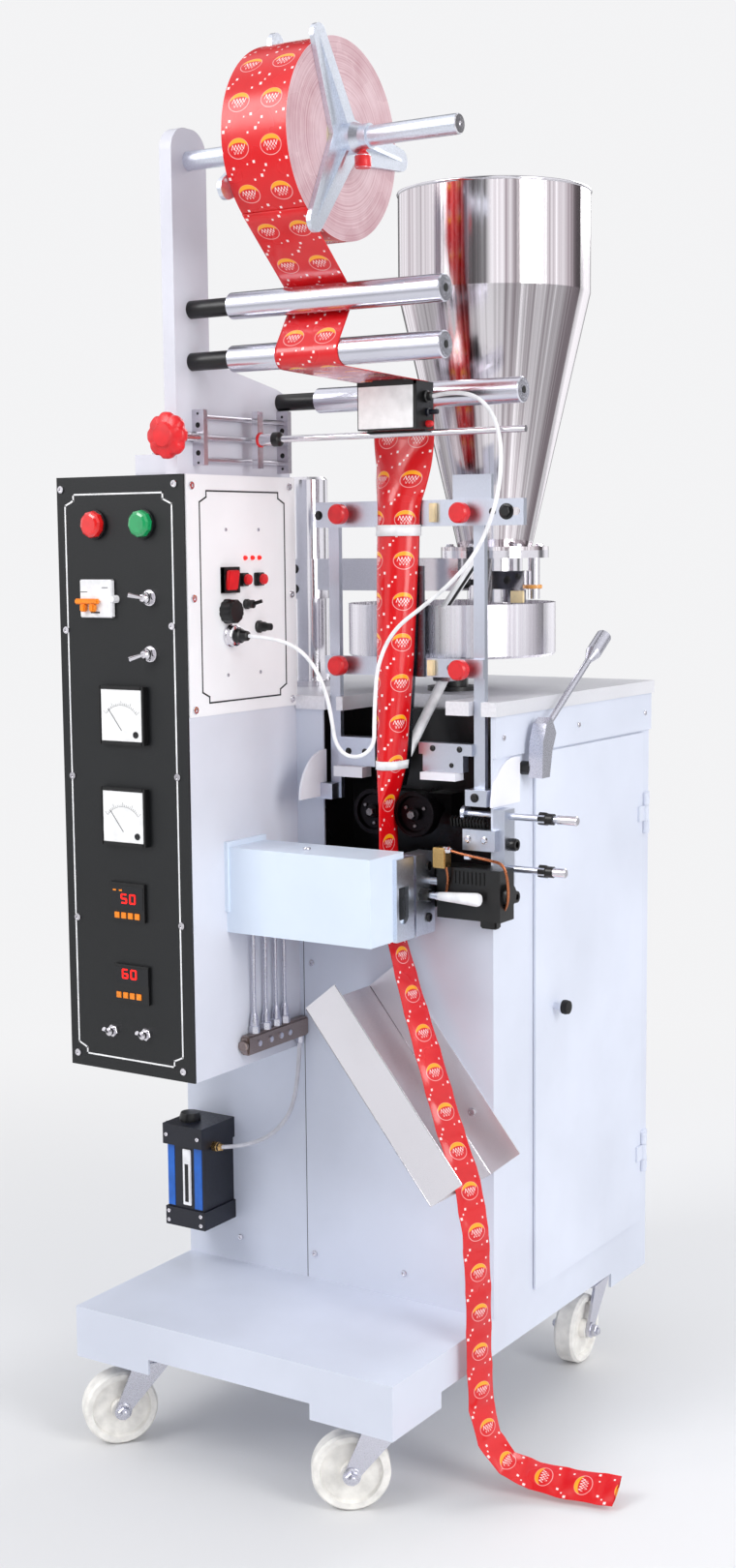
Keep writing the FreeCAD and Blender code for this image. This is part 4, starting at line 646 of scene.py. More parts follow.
for name, key in DRESS.items():
    if name in NODES:
        NODES[name].data.materials.clear()
        NODES[name].data.materials.append(MAT[key])
        NODES[name].data.shade_smooth()
        NODES[name].data.set_sharp_from_angle(angle=math.radians(35))


def roll_look():
    """Wound film: the print shows round the rim, the layers show on the two ends."""
    k = Look("roll_print")
    sep = k.add("ShaderNodeSeparateXYZ")
    k.link(k.coord, sep.inputs[0])
    c = P(FILM_X + WEB_SHIFT, REEL[0], REEL[1])
    y, z = k.math("SUBTRACT", sep.outputs["Y"], c.y), k.math("SUBTRACT", sep.outputs["Z"], c.z)
    turn = k.math("ARCTAN2", k.math("MULTIPLY", z, -1.0), k.math("MULTIPLY", y, -1.0))
    start = belt_line(CIRCLES, -math.pi / 2)[0]
    left_at = math.atan2(REEL[1] - start.y, REEL[0] - start.x)
    along = k.math("MULTIPLY", k.math("SUBTRACT", left_at, turn), REEL[2])
    row = k.math("MODULO", k.math("ADD", along, 1000 * PITCH), PITCH)
    u = k.math("MULTIPLY", k.math("SUBTRACT", sep.outputs["X"], c.x), 1000.0)
    rim = print_look(k, u, row)
    rad = k.math("MULTIPLY", k.math("SQRT", k.math("ADD", k.math("MULTIPLY", y, y), k.math("MULTIPLY", z, z))), 1000.0)
    ring = k.add("ShaderNodeTexNoise", noise_dimensions="1D")
    k.link(rad, ring.inputs["W"])
    ring.inputs["Scale"].default_value = 0.45
    ring.inputs["Detail"].default_value = 6.0
    layers = k.math("ADD", k.math("MULTIPLY", ring.outputs["Fac"], 0.55), k.math("MULTIPLY", k.noise(24.0, 4.0), 0.45))
    ends = k.blend(k.ramp(layers, 0.36, 0.62, 0, 1), linear((0.72, 0.55, 0.58)), linear((0.84, 0.73, 0.75)))
    nsep = k.add("ShaderNodeSeparateXYZ")
    k.link(k.add("ShaderNodeNewGeometry").outputs["True Normal"], nsep.inputs[0])
    flat = k.ramp(k.math("ABSOLUTE", nsep.outputs["X"]), 0.6, 0.8, 0, 1)
    ends = k.blend(k.ramp(rad, 34.0, 35.0, 1, 0), ends, linear((0.78, 0.70, 0.62)))
    k.colour(k.blend(flat, rim, ends))
    k.rough(k.ramp(k.noise(12.0, 3.0), 0.3, 0.7, 0.20, 0.36))
    k.bump(layers, 0.12, 0.0005)
    return k.mat


NODES["film_roll"].data.materials.clear()
NODES["film_roll"].data.materials.append(roll_look())

# Small parts that ride on the drawing's pieces
def boxes(name, mat, rows, body="machine", bevel=0.6):
    """Blocks given by their two corners: x, x, y, y, z, z."""
    bm = bmesh.new()
    for x0, x1, y0, y1, z0, z1 in rows:
        block(bm, x0, y0, z0, x1 - x0, y1 - y0, z1 - z0, min(bevel, 0.3 * min(x1 - x0, y1 - y0, z1 - z0)))
    return finish_mesh(bm, name, mat, body)


def turnings(name, mat, rows, body="machine", n=28):
    """Turned pieces: centre, axis and a profile of (radius, distance)."""
    bm = bmesh.new()
    for centre, axis, profile in rows:
        lathe(bm, centre, axis, profile, n)
    return finish_mesh(bm, name, mat, body)


def bolts(name, mat, rows, body="machine", sides=6):
    """Bolt or screw heads: place, axis, radius and height."""
    bm = bmesh.new()
    for centre, axis, radius, height in rows:
        bolt(bm, centre, axis, radius, height, sides)
    return finish_mesh(bm, name, mat, body)


def pipe(name, mat, points, radius, body="machine", bend=True):
    bm = bmesh.new()
    swept(bm, curve_points(points) if bend else [P(*p) for p in points], radius)
    return finish_mesh(bm, name, mat, body, 60)


def outline(name, mat, corners, plane, at, wide, deep, body="machine"):
    """A painted line round a panel; plane Y takes (x, z) corners, plane X takes (y, z)."""
    bm = bmesh.new()
    for (a0, b0), (a1, b1) in zip(corners, corners[1:] + corners[:1]):
        long = math.hypot(a1 - a0, b1 - b0) + wide
        angle = math.atan2(b1 - b0, a1 - a0)
        new = bmesh.ops.create_cube(bm, size=1.0)["verts"]
        for v in new:
            u, w, t = v.co.x * long, v.co.y * wide, v.co.z * deep
            a = (a0 + a1) / 2 + u * math.cos(angle) - w * math.sin(angle)
            b = (b0 + b1) / 2 + u * math.sin(angle) + w * math.cos(angle)
            v.co = P(a, at + t, b) if plane == "Y" else P(at + t, a, b)
    return finish_mesh(bm, name, mat, body)


DOWN_Y = (0, -1, 0)
FACE = 14.0  # front of the black plate
SIDE = -50.0  # face of the white plate


def notched(a0, a1, b0, b1, k):
    """Corners of a border with stepped-in corners."""
    return [(a0 + k, b0), (a1 - k, b0), (a1 - k, b0 + k * 0.55), (a1, b0 + k), (a1, b1 - k), (a1 - k, b1 - k * 0.55),
            (a1 - k, b1), (a0 + k, b1), (a0 + k, b1 - k * 0.55), (a0, b1 - k), (a0, b0 + k), (a0 + k, b0 + k * 0.55)]


outline("border_white", "line_white", notched(-243.5, -70.5, 541.5, 1270, 14), "Y", FACE - 0.2, 2.0, 0.4)
bolts("panel_screws", "chrome", [((x, FACE, z), DOWN_Y, 4.6, 2.4) for x, z in (
    (-249.6, 1276.9), (-65.6, 1280.4), (-246.3, 1097.6), (-73.2, 1105), (-242.1, 909.1), (-69.3, 916.2),
    (-240, 722.7), (-67.7, 726.8), (-245.3, 540.4), (-69.6, 537.5))], sides=20)
for x, mat in ((-194, "glass_red"), (-116, "glass_green")):
    bm = bmesh.new()
    lathe(bm, (x, 0, 1232), "Y", [(11.0, 0.0), (14.0, 1.2), (16.4, 3.6), (17.2, 6.0), (17.2, 9.9)], 10)
    finish_mesh(bm, "lens_red" if x < -150 else "lens_green", mat, "machine", 20)
boxes("breaker", "white_plastic", [(-216.6, -164.4, 6.8, 14, 1114.6, 1162.6)], bevel=1.2)
# Black strips stand for the breaker's slots: painted shade in the slots.
boxes("breaker_slot_shade", "line_black", [(-215, -204, 6.5, 7, 1146.5, 1147.4), (-180, -170, 6.5, 7, 1152, 1152.9),
                                      (-199, -184, 6.5, 6.9, 1120, 1122)], bevel=0.1)
boxes("breaker_toggle", "orange", [(-221, -183, 0.5, 6.8, 1131.5, 1138.5), (-211, -203, -1.5, 6.8, 1122, 1132),
                                   (-196, -188, -1.5, 6.8, 1122, 1132)], bevel=1.5)
turnings("breaker_knob", "white_plastic", [((-162, 14, 1138), DOWN_Y, [(5, 0), (5, 3), (3.6, 6), (3.4, 9), (0.5, 10)])])
bm = bmesh.new()
for x, z, tip, low in ((-109, 1140, -15, 4), (-109.5, 1069.5, -15, -6)):
    lathe(bm, (x, FACE, z), DOWN_Y, [(10.4, 0), (10.4, 0.8), (10, 1.2)], 24)
    lathe(bm, (x, FACE, z), DOWN_Y, [(8.6, 1), (8.6, 6), (8, 6.6)], 6)
    lathe(bm, (x, FACE, z), DOWN_Y, [(7.3, 6), (7.3, 10), (5.6, 12), (4.6, 14)], 20)
    swept(bm, [P(x, 2, z), P(x + tip * 0.5, -4, z + low * 0.5), P(x + tip, -9, z + low)], 3.0, scale=lambda f: 0.75 + 0.5 * f)
for x, z in ((-185, 577), (-130, 578.5)):
    lathe(bm, (x, FACE, z), DOWN_Y, [(8.5, 0), (8.5, 2.2), (8, 2.8)], 6)
    lathe(bm, (x, FACE, z), DOWN_Y, [(5.3, 2), (5.3, 9.2), (4, 10.2)], 18)
    swept(bm, [P(x, 4, z), P(x, 0, z + 2), P(x, -5, z + 6)], 2.2, scale=lambda f: 0.8 + 0.5 * f)
finish_mesh(bm, "toggles", "chrome", "machine")

# Meters: white dial with its scale, pointer and small knob in a dark frame
for n, (x0, z0) in enumerate(((-190, 954), (-191, 824))):
    boxes("meter_dial_%d" % n, "screen_white", [(x0 + 4, x0 + 70, 7.0, 8.2, z0 + 4, z0 + 70)], bevel=0.4)
    bm = bmesh.new()
    cx, cz = x0 + 37, z0 + 18
    for i in range(21):
        a = math.radians(140 - 5.0 * i)
        r1 = 35 if i % 5 else 38
        swept(bm, [P(cx + 32 * math.cos(a), 6.9, cz + 32 * math.sin(a)), P(cx + r1 * math.cos(a), 6.9, cz + r1 * math.sin(a))],
              0.17, 4)
    swept(bm, [P(cx + 32 * math.cos(math.radians(140 - 5 * i)), 6.9, cz + 32 * math.sin(math.radians(140 - 5 * i)))
               for i in range(21)], 0.15, 4)
    a = math.radians(128)
    swept(bm, [P(cx, 6.6, cz), P(cx + 34 * math.cos(a), 6.6, cz + 34 * math.sin(a))], 0.4, 5)
    lathe(bm, (x0 + 60, 8, z0 + 13), DOWN_Y, [(4.2, 0), (4.2, 2), (3.4, 2.8), (0.5, 2.2)], 20)
    finish_mesh(bm, "meter_scale_%d" % n, "line_black", "machine")
    boxes("meter_frame_%d" % n, "black_plastic", [
        (x0 - 0.6, x0 + 4, 5.6, 8.3, z0 - 0.6, z0 + 74.6), (x0 + 70, x0 + 74.6, 5.6, 8.3, z0 - 0.6, z0 + 74.6),
        (x0 + 3.8, x0 + 70.2, 5.6, 8.3, z0 - 0.6, z0 + 4), (x0 + 3.8, x0 + 70.2, 5.6, 8.3, z0 + 70, z0 + 74.6)], bevel=0.8)


def glow(name, c, power):
    k = Look(name)
    k.set(Base_Color=linear(c), Emission_Color=linear(c), Emission_Strength=power, Roughness=0.3)
    return k.mat


MAT["digit"] = glow("lit_digit", (0.95, 0.08, 0.06), 1.6)
MAT["led"] = glow("red_led", (0.95, 0.12, 0.10), 0.6)
SEGMENTS = {"0": "abcdef", "3": "abgcd", "5": "afgcd", "6": "afgedc", "8": "abcdefg"}


def digit(bm, text, x, z, w, h, y):
    """A seven-bar figure with its low left corner at x, z."""
    t = h * 0.09
    bars = {"a": (x, x + w, z + h - t, z + h + t), "g": (x, x + w, z + h / 2 - t, z + h / 2 + t),
            "d": (x, x + w, z - t, z + t), "f": (x - t, x + t, z + h / 2, z + h), "e": (x - t, x + t, z, z + h / 2),
            "b": (x + w - t, x + w + t, z + h / 2, z + h), "c": (x + w - t, x + w + t, z, z + h / 2)}
    for s in SEGMENTS[text]:
        x0, x1, z0, z1 = bars[s]
        block(bm, x0, y - 0.5, z0, x1 - x0, 0.5, z1 - z0, 0)


bm = bmesh.new()
for text, x, z in (("5", -162, 749), ("0", -148, 749), ("6", -163, 650.5), ("0", -149, 650.5)):
    digit(bm, text, x, z, 8, 11, 9.6)
finish_mesh(bm, "digits", "digit", "machine")
boxes("thumbwheels", "orange", [(-174 + 11 * i, -166 + 11 * i, 8.8, 10.2, z, z + 8) for z in (728.5, 623.5) for i in range(4)])
boxes("display_windows", "line_black", [(-179, -127, 9.6, 10.2, 741, 771), (-175, -121, 9.6, 10.2, 643, 665)], bevel=0.3)
boxes("display_marks", "orange", [(-176, -171, 9.2, 9.8, 764, 766), (-166, -161, 9.2, 9.8, 764, 766)], bevel=0.2)

# White plate: border, screws, signal lights, keys
outline("border_black", "line_black", notched(43, 225, 1007, 1272, 14), "X", SIDE + 0.2, 2.0, 0.4)
bolts("plate_screws", "chrome", [((SIDE, y, z), "X", 5.0, 2.2) for y, z in (
    (26.9, 1278), (236.5, 1280), (27.9, 1139), (239, 1139), (27, 1000), (238, 1000))], sides=20)
bolts("plate_small_screws", "chrome", [((SIDE, y, z), "X", 2.4, 1.4) for y, z in (
    (96, 1224), (166, 1224), (96, 1040), (166, 1040))], sides=20)
turnings("leds", "led", [((SIDE, y, 1188), "X", [(3.0, 0), (3.0, 2), (2.2, 3.6), (0.5, 4.2)]) for y in (136, 151.7, 166.6)], n=16)
boxes("key_frames", "black_plastic", [
    (-50, -43, 84, 87, 1144, 1177), (-50, -43, 111, 117, 1144, 1177), (-50, -43, 86, 112, 1144, 1147.4),
    (-50, -43, 86, 112, 1173.6, 1177), (-50, -45, 121, 139, 1152, 1169), (-50, -45, 155, 173, 1152, 1169)], bevel=0.9)
bm = bmesh.new()
block(bm, -45, 87.2, 1148, 6, 22.6, 25, 1.5, Matrix.Rotation(math.radians(9), 3, "Y"))
for y in (130, 164):
    lathe(bm, (-50, y, 1160.5), "X", [(6.9, 7.8), (6.9, 11), (6.2, 12.4), (2, 13)], 24)
finish_mesh(bm, "keys", "red", "machine")
bm = bmesh.new()
lathe(bm, (-50, 96, 1121), "X", [(15.9, 0), (15.9, 3), (15.3, 5), (15.2, 15), (13.5, 17), (3, 17.4)], 48, 0, 12, 0.08)
lathe(bm, (-50, 137, 1129), "X", [(6.5, 0), (6.5, 4), (5.4, 5), (5.4, 12.4), (4, 13)], 18)
lathe(bm, (-50, 164, 1099), "X", [(8.2, 0), (8.2, 3), (6.4, 4), (6.4, 10.3), (5, 13), (4.6, 20)], 20)
swept(bm, [P(-40, 137, 1129), P(-33, 139, 1131), P(-27, 141, 1133)], 2.4)
finish_mesh(bm, "plate_knobs", "black_plastic", "machine")
turnings("plug_ring", "chrome", [((-50, 102, 1090), "X", [(14.6, 0), (14.6, 3), (13.4, 4), (13.4, 10.5), (12, 11.5), (9, 11.7)])], n=32)

# Reel: clamp knob, hub screws and shaft end; the film's near end is bare
turnings("clamp_knob", "red", [((195.3, 45, 1653.5), (0, 0, -1), [(4.2, -9), (4.2, 0), (7.5, 3), (9.6, 6), (9.6, 17), (8.6, 19), (2, 19.4)])],
         "reel")
bm = bmesh.new()
for phase, x in ((117, 175.2), (90, 69.2)):
    s = 1 if x > 100 else -1
    for i in range(3):
        a = math.radians(phase + 120 * i + 60)
        lathe(bm, (x + s * 9.5, 45 + 13 * math.cos(a), 1669.5 + 13 * math.sin(a)), (s, 0, 0), [(2.6, 0), (2.6, 2.4), (2, 3)], 16)
finish_mesh(bm, "hub_screws", "black", "reel")
turnings("shaft_end", "chrome", [((323.3, 45, 1669.5), "X", [(11.4, -0.2), (10.4, 1.4), (3, 1.6), (2.4, 0.2)])], "reel")

# Guide rollers: bright end caps; a black disc in each bore is painted shade
for r, y, z in (("upper", 45, 1492), ("lower", 45, 1429), ("rear", 230, 1389)):
    turnings("roller_cap_" + r, "roller", [((303, y, z), "X", [(15.9, -0.4), (15.9, 0.5), (14.6, 2.0), (5, 2.4)])], "roller_" + r, 40)
    turnings("roller_bore_shade_" + r, "rubber", [((305.4, y, z), "X", [(4.6, 0), (4.6, 0.4), (0.5, 0.5)])], "roller_" + r, 20)
turnings("stand_nuts", "black", [((-76, y, z), (-1, 0, 0), [(9, 0), (9, 6), (8, 7)]) for y, z in (
    (45, 1492), (45, 1429), (230, 1389))], n=6)
bolts("stand_bolts", "chrome", [((x, y, 1317), "Z", 5, 4) for x in (-118, -90) for y in (45, 215)])

# Adjuster: lobed red wheel, bores of its end blocks, slider collar
bm = bmesh.new()
lathe(bm, (-49, -9, 1337), DOWN_Y, [(11, 0), (20, 1), (26.5, 3.5), (28, 8), (28, 13), (25.5, 16.5), (17, 17.4), (15.5, 18), (13.5, 21),
                                    (6, 21.6), (1, 21.7)], 96, 0, 8, 0.09)
wheel = finish_mesh(bm, "handwheel", "red", "machine", 50)
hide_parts("adjuster_wheel")
hub = turnings("handwheel_hub", "chrome", [((-49, 42, 1337), DOWN_Y, [(7, 0), (7, 51.2)])], n=24)
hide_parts("adjuster_wheel")
# Black discs in the bores of the end blocks: painted shade in the holes.
turnings("adjuster_bore_shade", "rubber", [((-49, y, z), DOWN_Y, [(r, -0.3), (r, 0.3), (0.5, 0.35)]) for y, z, r in (
    (42, 1352, 3.4), (42, 1318, 3.4), (42, 1366, 1.6), (42, 1306, 1.6), (222, 1352, 3.4), (222, 1320, 3.4),
    (222, 1370, 1.8), (222, 1303, 1.8))], n=18)
turnings("rod_collar", "black", [((-9, 148, 1337), "X", [(9.2, 0), (9.2, 9), (7, 10.5)])], n=24)
turnings("red_washer", "red", [((-31.4, 148, 1337), "X", [(9.5, 0), (9.5, 2.4), (8.4, 2.8)])], n=24)

# Sensor head: white window in its dark frame, switch, button and cord grip on the right
boxes("sensor_window", "screen_white", [(132.5, 210.5, 126.2, 127.4, 1343, 1393.5)], bevel=0.8)
boxes("sensor_rim", "black_plastic", [(130.6, 215.4, 126.4, 127.6, 1394, 1399), (211, 215.4, 126.4, 127.6, 1341, 1399),
                                      (150, 196, 130, 150, 1398, 1401.5)], bevel=0.8)
turnings("sensor_switch", "navy", [((215, 152, 1362), "X", [(5, 0), (5, 3), (3.4, 4), (3, 15)])], n=18)
turnings("sensor_button", "red", [((215, 152, 1348), "X", [(4.2, 0), (4.2, 5), (3, 7.5), (0.5, 8)])], n=18)
turnings("cord_grip", "black_plastic", [((215, 147, 1380.3), "X", [(7.2, 0), (7.2, 4), (5.4, 5), (5.2, 10), (3.4, 11.5)])], n=24)

# Hopper: rolled rim, seam, flange bolts; its gate and the clamp on the post
bm = bmesh.new()
lathe(bm, (158, 420, 1660), "Z", [(125.1, 0.1), (125.1, 1.2), (126.2, 2.2), (128.0, 1.6), (128.6, 0), (128.0, -1.8), (127.05, -2.2)], 96)
bmesh.ops.delete(bm, geom=[f for f in bm.faces if len(f.verts) > 4], context="FACES")
finish_mesh(bm, "hopper_rim", "chrome", "machine", 60)
pipe("hopper_seam", "chrome", [(158 + 127.1 * math.cos(2.3), 420 + 127.1 * math.sin(2.3), 1656),
                               (158 + 127.1 * math.cos(2.3), 420 + 127.1 * math.sin(2.3), 1532)], 0.7, bend=False)
bolts("flange_bolts", "chrome", [((158 + 60 * math.cos(math.radians(a)), 420 + 60 * math.sin(math.radians(a)), 1199), "Z", 5, 4)
                                 for a in range(30, 390, 60)])
turnings("gate_ring", "amber", [((222, 412, 1143), "Z", [(8.2, 0), (11, 1), (11, 5), (8.2, 6)])])
boxes("gate_pointer", "ivory", [(201, 220, 385, 389.5, 1125, 1141)])
turnings("gate_knob", "black_plastic", [((138, 384, 1152), DOWN_Y, [(4, -6), (4, 4), (8, 6), (8.6, 14), (7, 17), (1, 18)])])
bolts("gate_bolts", "black", [((196, 386, 1155), DOWN_Y, 4, 3), ((212, 386, 1160), DOWN_Y, 3, 3)])
bolts("clamp_bolts", "black", [((-146, 385, 1170), DOWN_Y, 5, 5), ((-146, 385, 1142), DOWN_Y, 5, 5), ((40, 400, 1162), DOWN_Y, 5, 4)])
bolts("post_foot_bolts", "chrome", [((-146 + 33 * math.cos(a), 420 + 33 * math.sin(a), 1012), "Z", 3.6, 3.4)
                                    for a in (0.8, 2.36, 3.93, 5.5)])

# Former: spacers, clamp bolts, product tube and its stay, feed hose; its collars are made with the film above
boxes("film_spacers", "ivory", [(161, 170, 243.5, 249.9, 1231, 1255), (157, 166, 243.5, 249.9, 1036, 1056)])
bolts("frame_bolts", "black", [((270, 250, 1243), DOWN_Y, 7.5, 6), ((250, 250, 1243), DOWN_Y, 3.5, 3),
                               ((-12, 250, 1242), DOWN_Y, 4.5, 3.5), ((188, 250, 1046), DOWN_Y, 3.5, 3),
                               ((-13, 238, 879), DOWN_Y, 3.6, 3.2), ((230, 238, 883), DOWN_Y, 4.4, 3.6)])
pipe("product_tube", "white_plastic", [(152, 296, 1030), (143, 282, 1000), (130, 264, 960), (121, 252, 932)], 7.0)
boxes("tube_head", "steel_z", [(140, 166, 286, 308, 1026, 1044)], bevel=1)
bm = bmesh.new()
for dy in (-6, 6):
    swept(bm, [P(151.8, 300 + dy, 1122), P(198.4, 300 + dy, 1183)], 3.4)
finish_mesh(bm, "stay_rails", "white_plastic", "machine")
pipe("stay_core", "black", [(151.8, 300, 1120), (198.4, 300, 1181)], 3.6, bend=False)
bolts("block_bolts", "black", [((30, 252, 932), DOWN_Y, 3.4, 3), ((56, 252, 932), DOWN_Y, 3.4, 3), ((160, 252, 942), DOWN_Y, 3, 3),
                               ((200, 252, 942), DOWN_Y, 3, 3), ((188, 252, 921), DOWN_Y, 2.4, 2)])
pipe("feed_hose", "rubber", [(88, 300, 1000), (86, 286, 985), (78, 276, 960), (74, 274, 930)], 5.0)

# Draw wheels: face screws and centre bolts
for side, cx in (("left", 83.8), ("right", 146.2)):
    bm = bmesh.new()
    for i in range(3):
        a = math.radians(120 * i + 30)
        lathe(bm, (cx + 15.5 * math.cos(a), 231, 858 + 15.5 * math.sin(a)), DOWN_Y, [(2.4, 0), (2.4, 2.2), (1.8, 2.8)], 14)
    lathe(bm, (cx, 222, 858), DOWN_Y, [(5.5, 0), (5.5, 4), (4.8, 4.6)], 6)
    finish_mesh(bm, "wheel_screws_" + side, "oiled", "draw_" + side)
    bm = bmesh.new()
    for i in range(60):
        a = 2 * math.pi * i / 60
        v = Vector((math.cos(a), 0, math.sin(a)))
        swept(bm, [P(cx, 226, 858) + v * 0.02945, P(cx, 240, 858) + v * 0.02945], 0.45, 4)
    finish_mesh(bm, "wheel_knurl_" + side, "iron", "draw_" + side)
pipe("bay_spring", "rubber", [(184 + 0.95 * i + 0.4, 258 + 7 * math.cos(i * 1.26), 848 + 7 * math.sin(i * 1.26)) for i in range(56)], 1.3,
     bend=False)

# Jaws: bolts, handle grip, oil pipe; side bar bolts
bolts("carrier_bolts", "black", [((174, 215.5, z), "X", 6.0, 3.0) for z in (795, 728)], "jaw", 20)
bm = bmesh.new()
lathe(bm, (174, 200, 760), "X", [(9.5, 0), (9.5, 10), (8, 12)], 6)
finish_mesh(bm, "handle_nut", "black", "jaw")
turnings("handle_grip", "white_plastic", [((198, 200, 760), "X", [(4.6, 0), (5.4, 2), (6.8, 26), (8.3, 50), (8.6, 57), (7.4, 60.5), (2, 61.5)])],
         "jaw")
pipe("oil_pipe_front", "copper", [(192, 205, 818), (200, 205, 822), (226, 205, 816), (268, 208, 810), (287, 212, 806), (291, 216, 780),
                                  (287, 222, 752), (276, 230, 742)], 1.9)
pipe("oil_pipe_short", "copper", [(198, 205, 816), (206, 206, 800), (208, 210, 780), (202, 214, 764)], 1.9)
# A black sheet on the end plate stands for its slot: painted shade in the slot.
boxes("plate_slot_shade", "line_black", [(168.1, 169.2, 145.3, 167.7, 733, 775.6)], bevel=0.2)
boxes("pipe_block", "brass", [(190, 208, 200, 217, 795.8, 822)], bevel=1)
turnings("pipe_nuts", "chrome", [((204, 205, 819), "X", [(4.4, 0), (4.4, 9), (3, 11)]), ((234, 207, 812), "X", [(3.6, 0), (3.6, 7)])], n=6)
boxes("drive_ribs", "rubber", [(214 + 6 * i, 216 + 6 * i, 212.6, 214.4, 776, 792) for i in range(8)], bevel=0.3)
bolts("bar_bolts", "black", [((267, 263, 823), "X", 8.2, 11), ((267, 263, 756), "X", 8.2, 11)], sides=20)
bolts("plate_bolts", "chrome", [((x, 240, 829), DOWN_Y, 3.6, 3) for x in (219, 243)])
turnings("screw_tips", "chrome", [((362, 263, 859), "X", [(6.0, -26), (6.2, 0), (4.8, 1.5)]), ((346, 263, 792), "X", [(6.0, -24), (6.2, 0), (4.8, 1.5)])])
bm = bmesh.new()
for z in (859, 792):
    lathe(bm, (311, 263, z), "X", [(8.9, -0.3), (8.9, 9.3), (7.9, 10)], 6)
    lathe(bm, (320, 263, z), "X", [(7.2, 0), (7.2, 10)], 24)
finish_mesh(bm, "screw_nuts", "black", "machine")
boxes("bar_lower", "black", [(238, 262, 236, 250, 716, 729.6)], bevel=2)
bolts("cover_screw", "chrome", [((52, 120, 819), "Z", 5, 3), ((-49, 96, 812), DOWN_Y, 3, 2)], sides=20)

# Front sheet: seam of its loose panel and its screws
boxes("sheet_seam", "line_black", [(-45.4, -44.6, 249.7, 250.1, 196, 732)], bevel=0)
bolts("sheet_screws", "chrome", [((x, 250, z), DOWN_Y, 4.2, 2.4) for x, z in ((-32, 640), (-33, 231), (112, 231), (112, 700), (-160, 231))],
      sides=20)
bolts("chute_screws", "chrome", [((219, 248, 470), DOWN_Y, 5.5, 2.5), ((150, 248, 560), DOWN_Y, 5.5, 2.5)], sides=20)

# Chute: bright chrome strips along its bends and the front wall's top edge, painted highlights of these edges
bm = bmesh.new()
for y, up_by in ((102.4, 2.4), (247.6, 2.4), (101, 57.1), (100.4, 0.4)):
    a, b = [(60.6 + 0.6266 * t + 0.7793 * up_by, y, 618.3 - 0.7793 * t + 0.6266 * up_by) for t in (1.5, 292.5)]
    swept(bm, [P(*a), P(*b)], 0.8, 8)
finish_mesh(bm, "chute_bend_highlights", "chrome", "machine")

# Lubricator: blue bands, sight glass with its level mark, cap, pipe nut and screws
boxes("oiler_bands", "blue", [(-233, -221, 180.4, 181.4, 287, 374), (-187, -173.5, 180.4, 181.4, 287, 374)], bevel=0.3)
boxes("oiler_glass", "white_plastic", [(-206, -192, 178.6, 181.2, 291, 371)], bevel=1.5)
boxes("oiler_level", "line_black", [(-202, -196, 178.2, 178.8, 296, 350)], bevel=0.2)
turnings("oiler_cap", "black_plastic", [((-212, 206, 405), "Z", [(15, 0), (15, 6), (13, 11.4), (4, 12.4)])], n=24)
turnings("oiler_nut", "brass", [((-168, 202, 375), "X", [(7.4, 0), (7.4, 7), (6.2, 8), (5, 14)])], n=6)
bolts("oiler_screws", "chrome", [((x, 178, z), DOWN_Y, 3, 2) for x in (-230, -174) for z in (266, 279)] +
      [((x, 174, 390), DOWN_Y, 3, 2) for x in (-229, -175)], sides=20)

# Manifold: drilled bar, its fittings, four bright pipes and the supply line
bm = bmesh.new()
block(bm, -52, 111, 540, 14, 139, 26, 2.4)
lathe(bm, (-45, 111, 553), DOWN_Y, [(7.4, 0), (7.4, 3.6), (6.2, 5)], 24)
manifold = [finish_mesh(bm, "manifold_bar", "brown_steel", "machine")]
bm = bmesh.new()
for y in (134, 160, 183, 203):
    lathe(bm, (-45, y, 566), "Z", [(7.4, 0), (7.4, 9), (6.4, 10)], 6)
    lathe(bm, (-45, y, 576), "Z", [(5.9, 0), (5.9, 7), (3.4, 17)], 18)
    lathe(bm, (-38, y, 553), "X", [(4, 0), (4, 2.5), (3, 3)], 16)
    drum(bm, (-45, y, 592), "Z", 2.6, 0, 116, 14, 0.2)
lathe(bm, (-45, 238, 540), (0, 0, -1), [(5.5, 0), (5.5, 9), (4.4, 10)], 6)
manifold.append(finish_mesh(bm, "manifold_pipes", "zinc", "machine"))
manifold.append(pipe("oil_line", "line_grey", [(-45, 238, 540), (-46, 236, 480), (-61, 230, 418), (-110, 214, 380),
                                               (-158, 202, 375)], 3.0))
for piece in manifold:
    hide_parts("lube_manifold")

# Door: knob; cabinet: corner screws on the right side
turnings("door_knob", "rubber", [((267, 412, 582), "X", [(5, -2), (9.4, 0), (10, 3), (9, 8.6), (3, 9.4)])], "door")
bolts("fascia_screws", "chrome", [((254, y, 958), "X", 3.6, 2) for y in (270, 480, 690)], sides=20)

# Casters: axle nuts
AIM = {"front_left": (-188, 70, 230.0), "front_right": (188, 70, 216.0), "back_left": (-188, 643, 250.0), "back_right": (188, 643, 273.0)}
for corner, (x, y, deg) in AIM.items():
    a = math.radians(deg)
    ahead, across = Vector((math.cos(a), math.sin(a), 0)), Vector((-math.sin(a), math.cos(a), 0))
    wx, wy = x + 38 * ahead.x, y + 38 * ahead.y
    bm = bmesh.new()
    for s in (1, -1):
        c = (wx + across.x * s * 24.2, wy + across.y * s * 24.2, 50)
        lathe(bm, c, across * s, [(11.5, 0), (11.5, 1.4), (11, 1.8)], 24)
        lathe(bm, c, across * s, [(9, 1.6), (9, 8), (8, 9)], 6)
        lathe(bm, c, across * s, [(5, 8), (5, 12), (4, 12.8)], 16)
    finish_mesh(bm, "axle_nuts_" + corner, "zinc", "fork_" + corner)

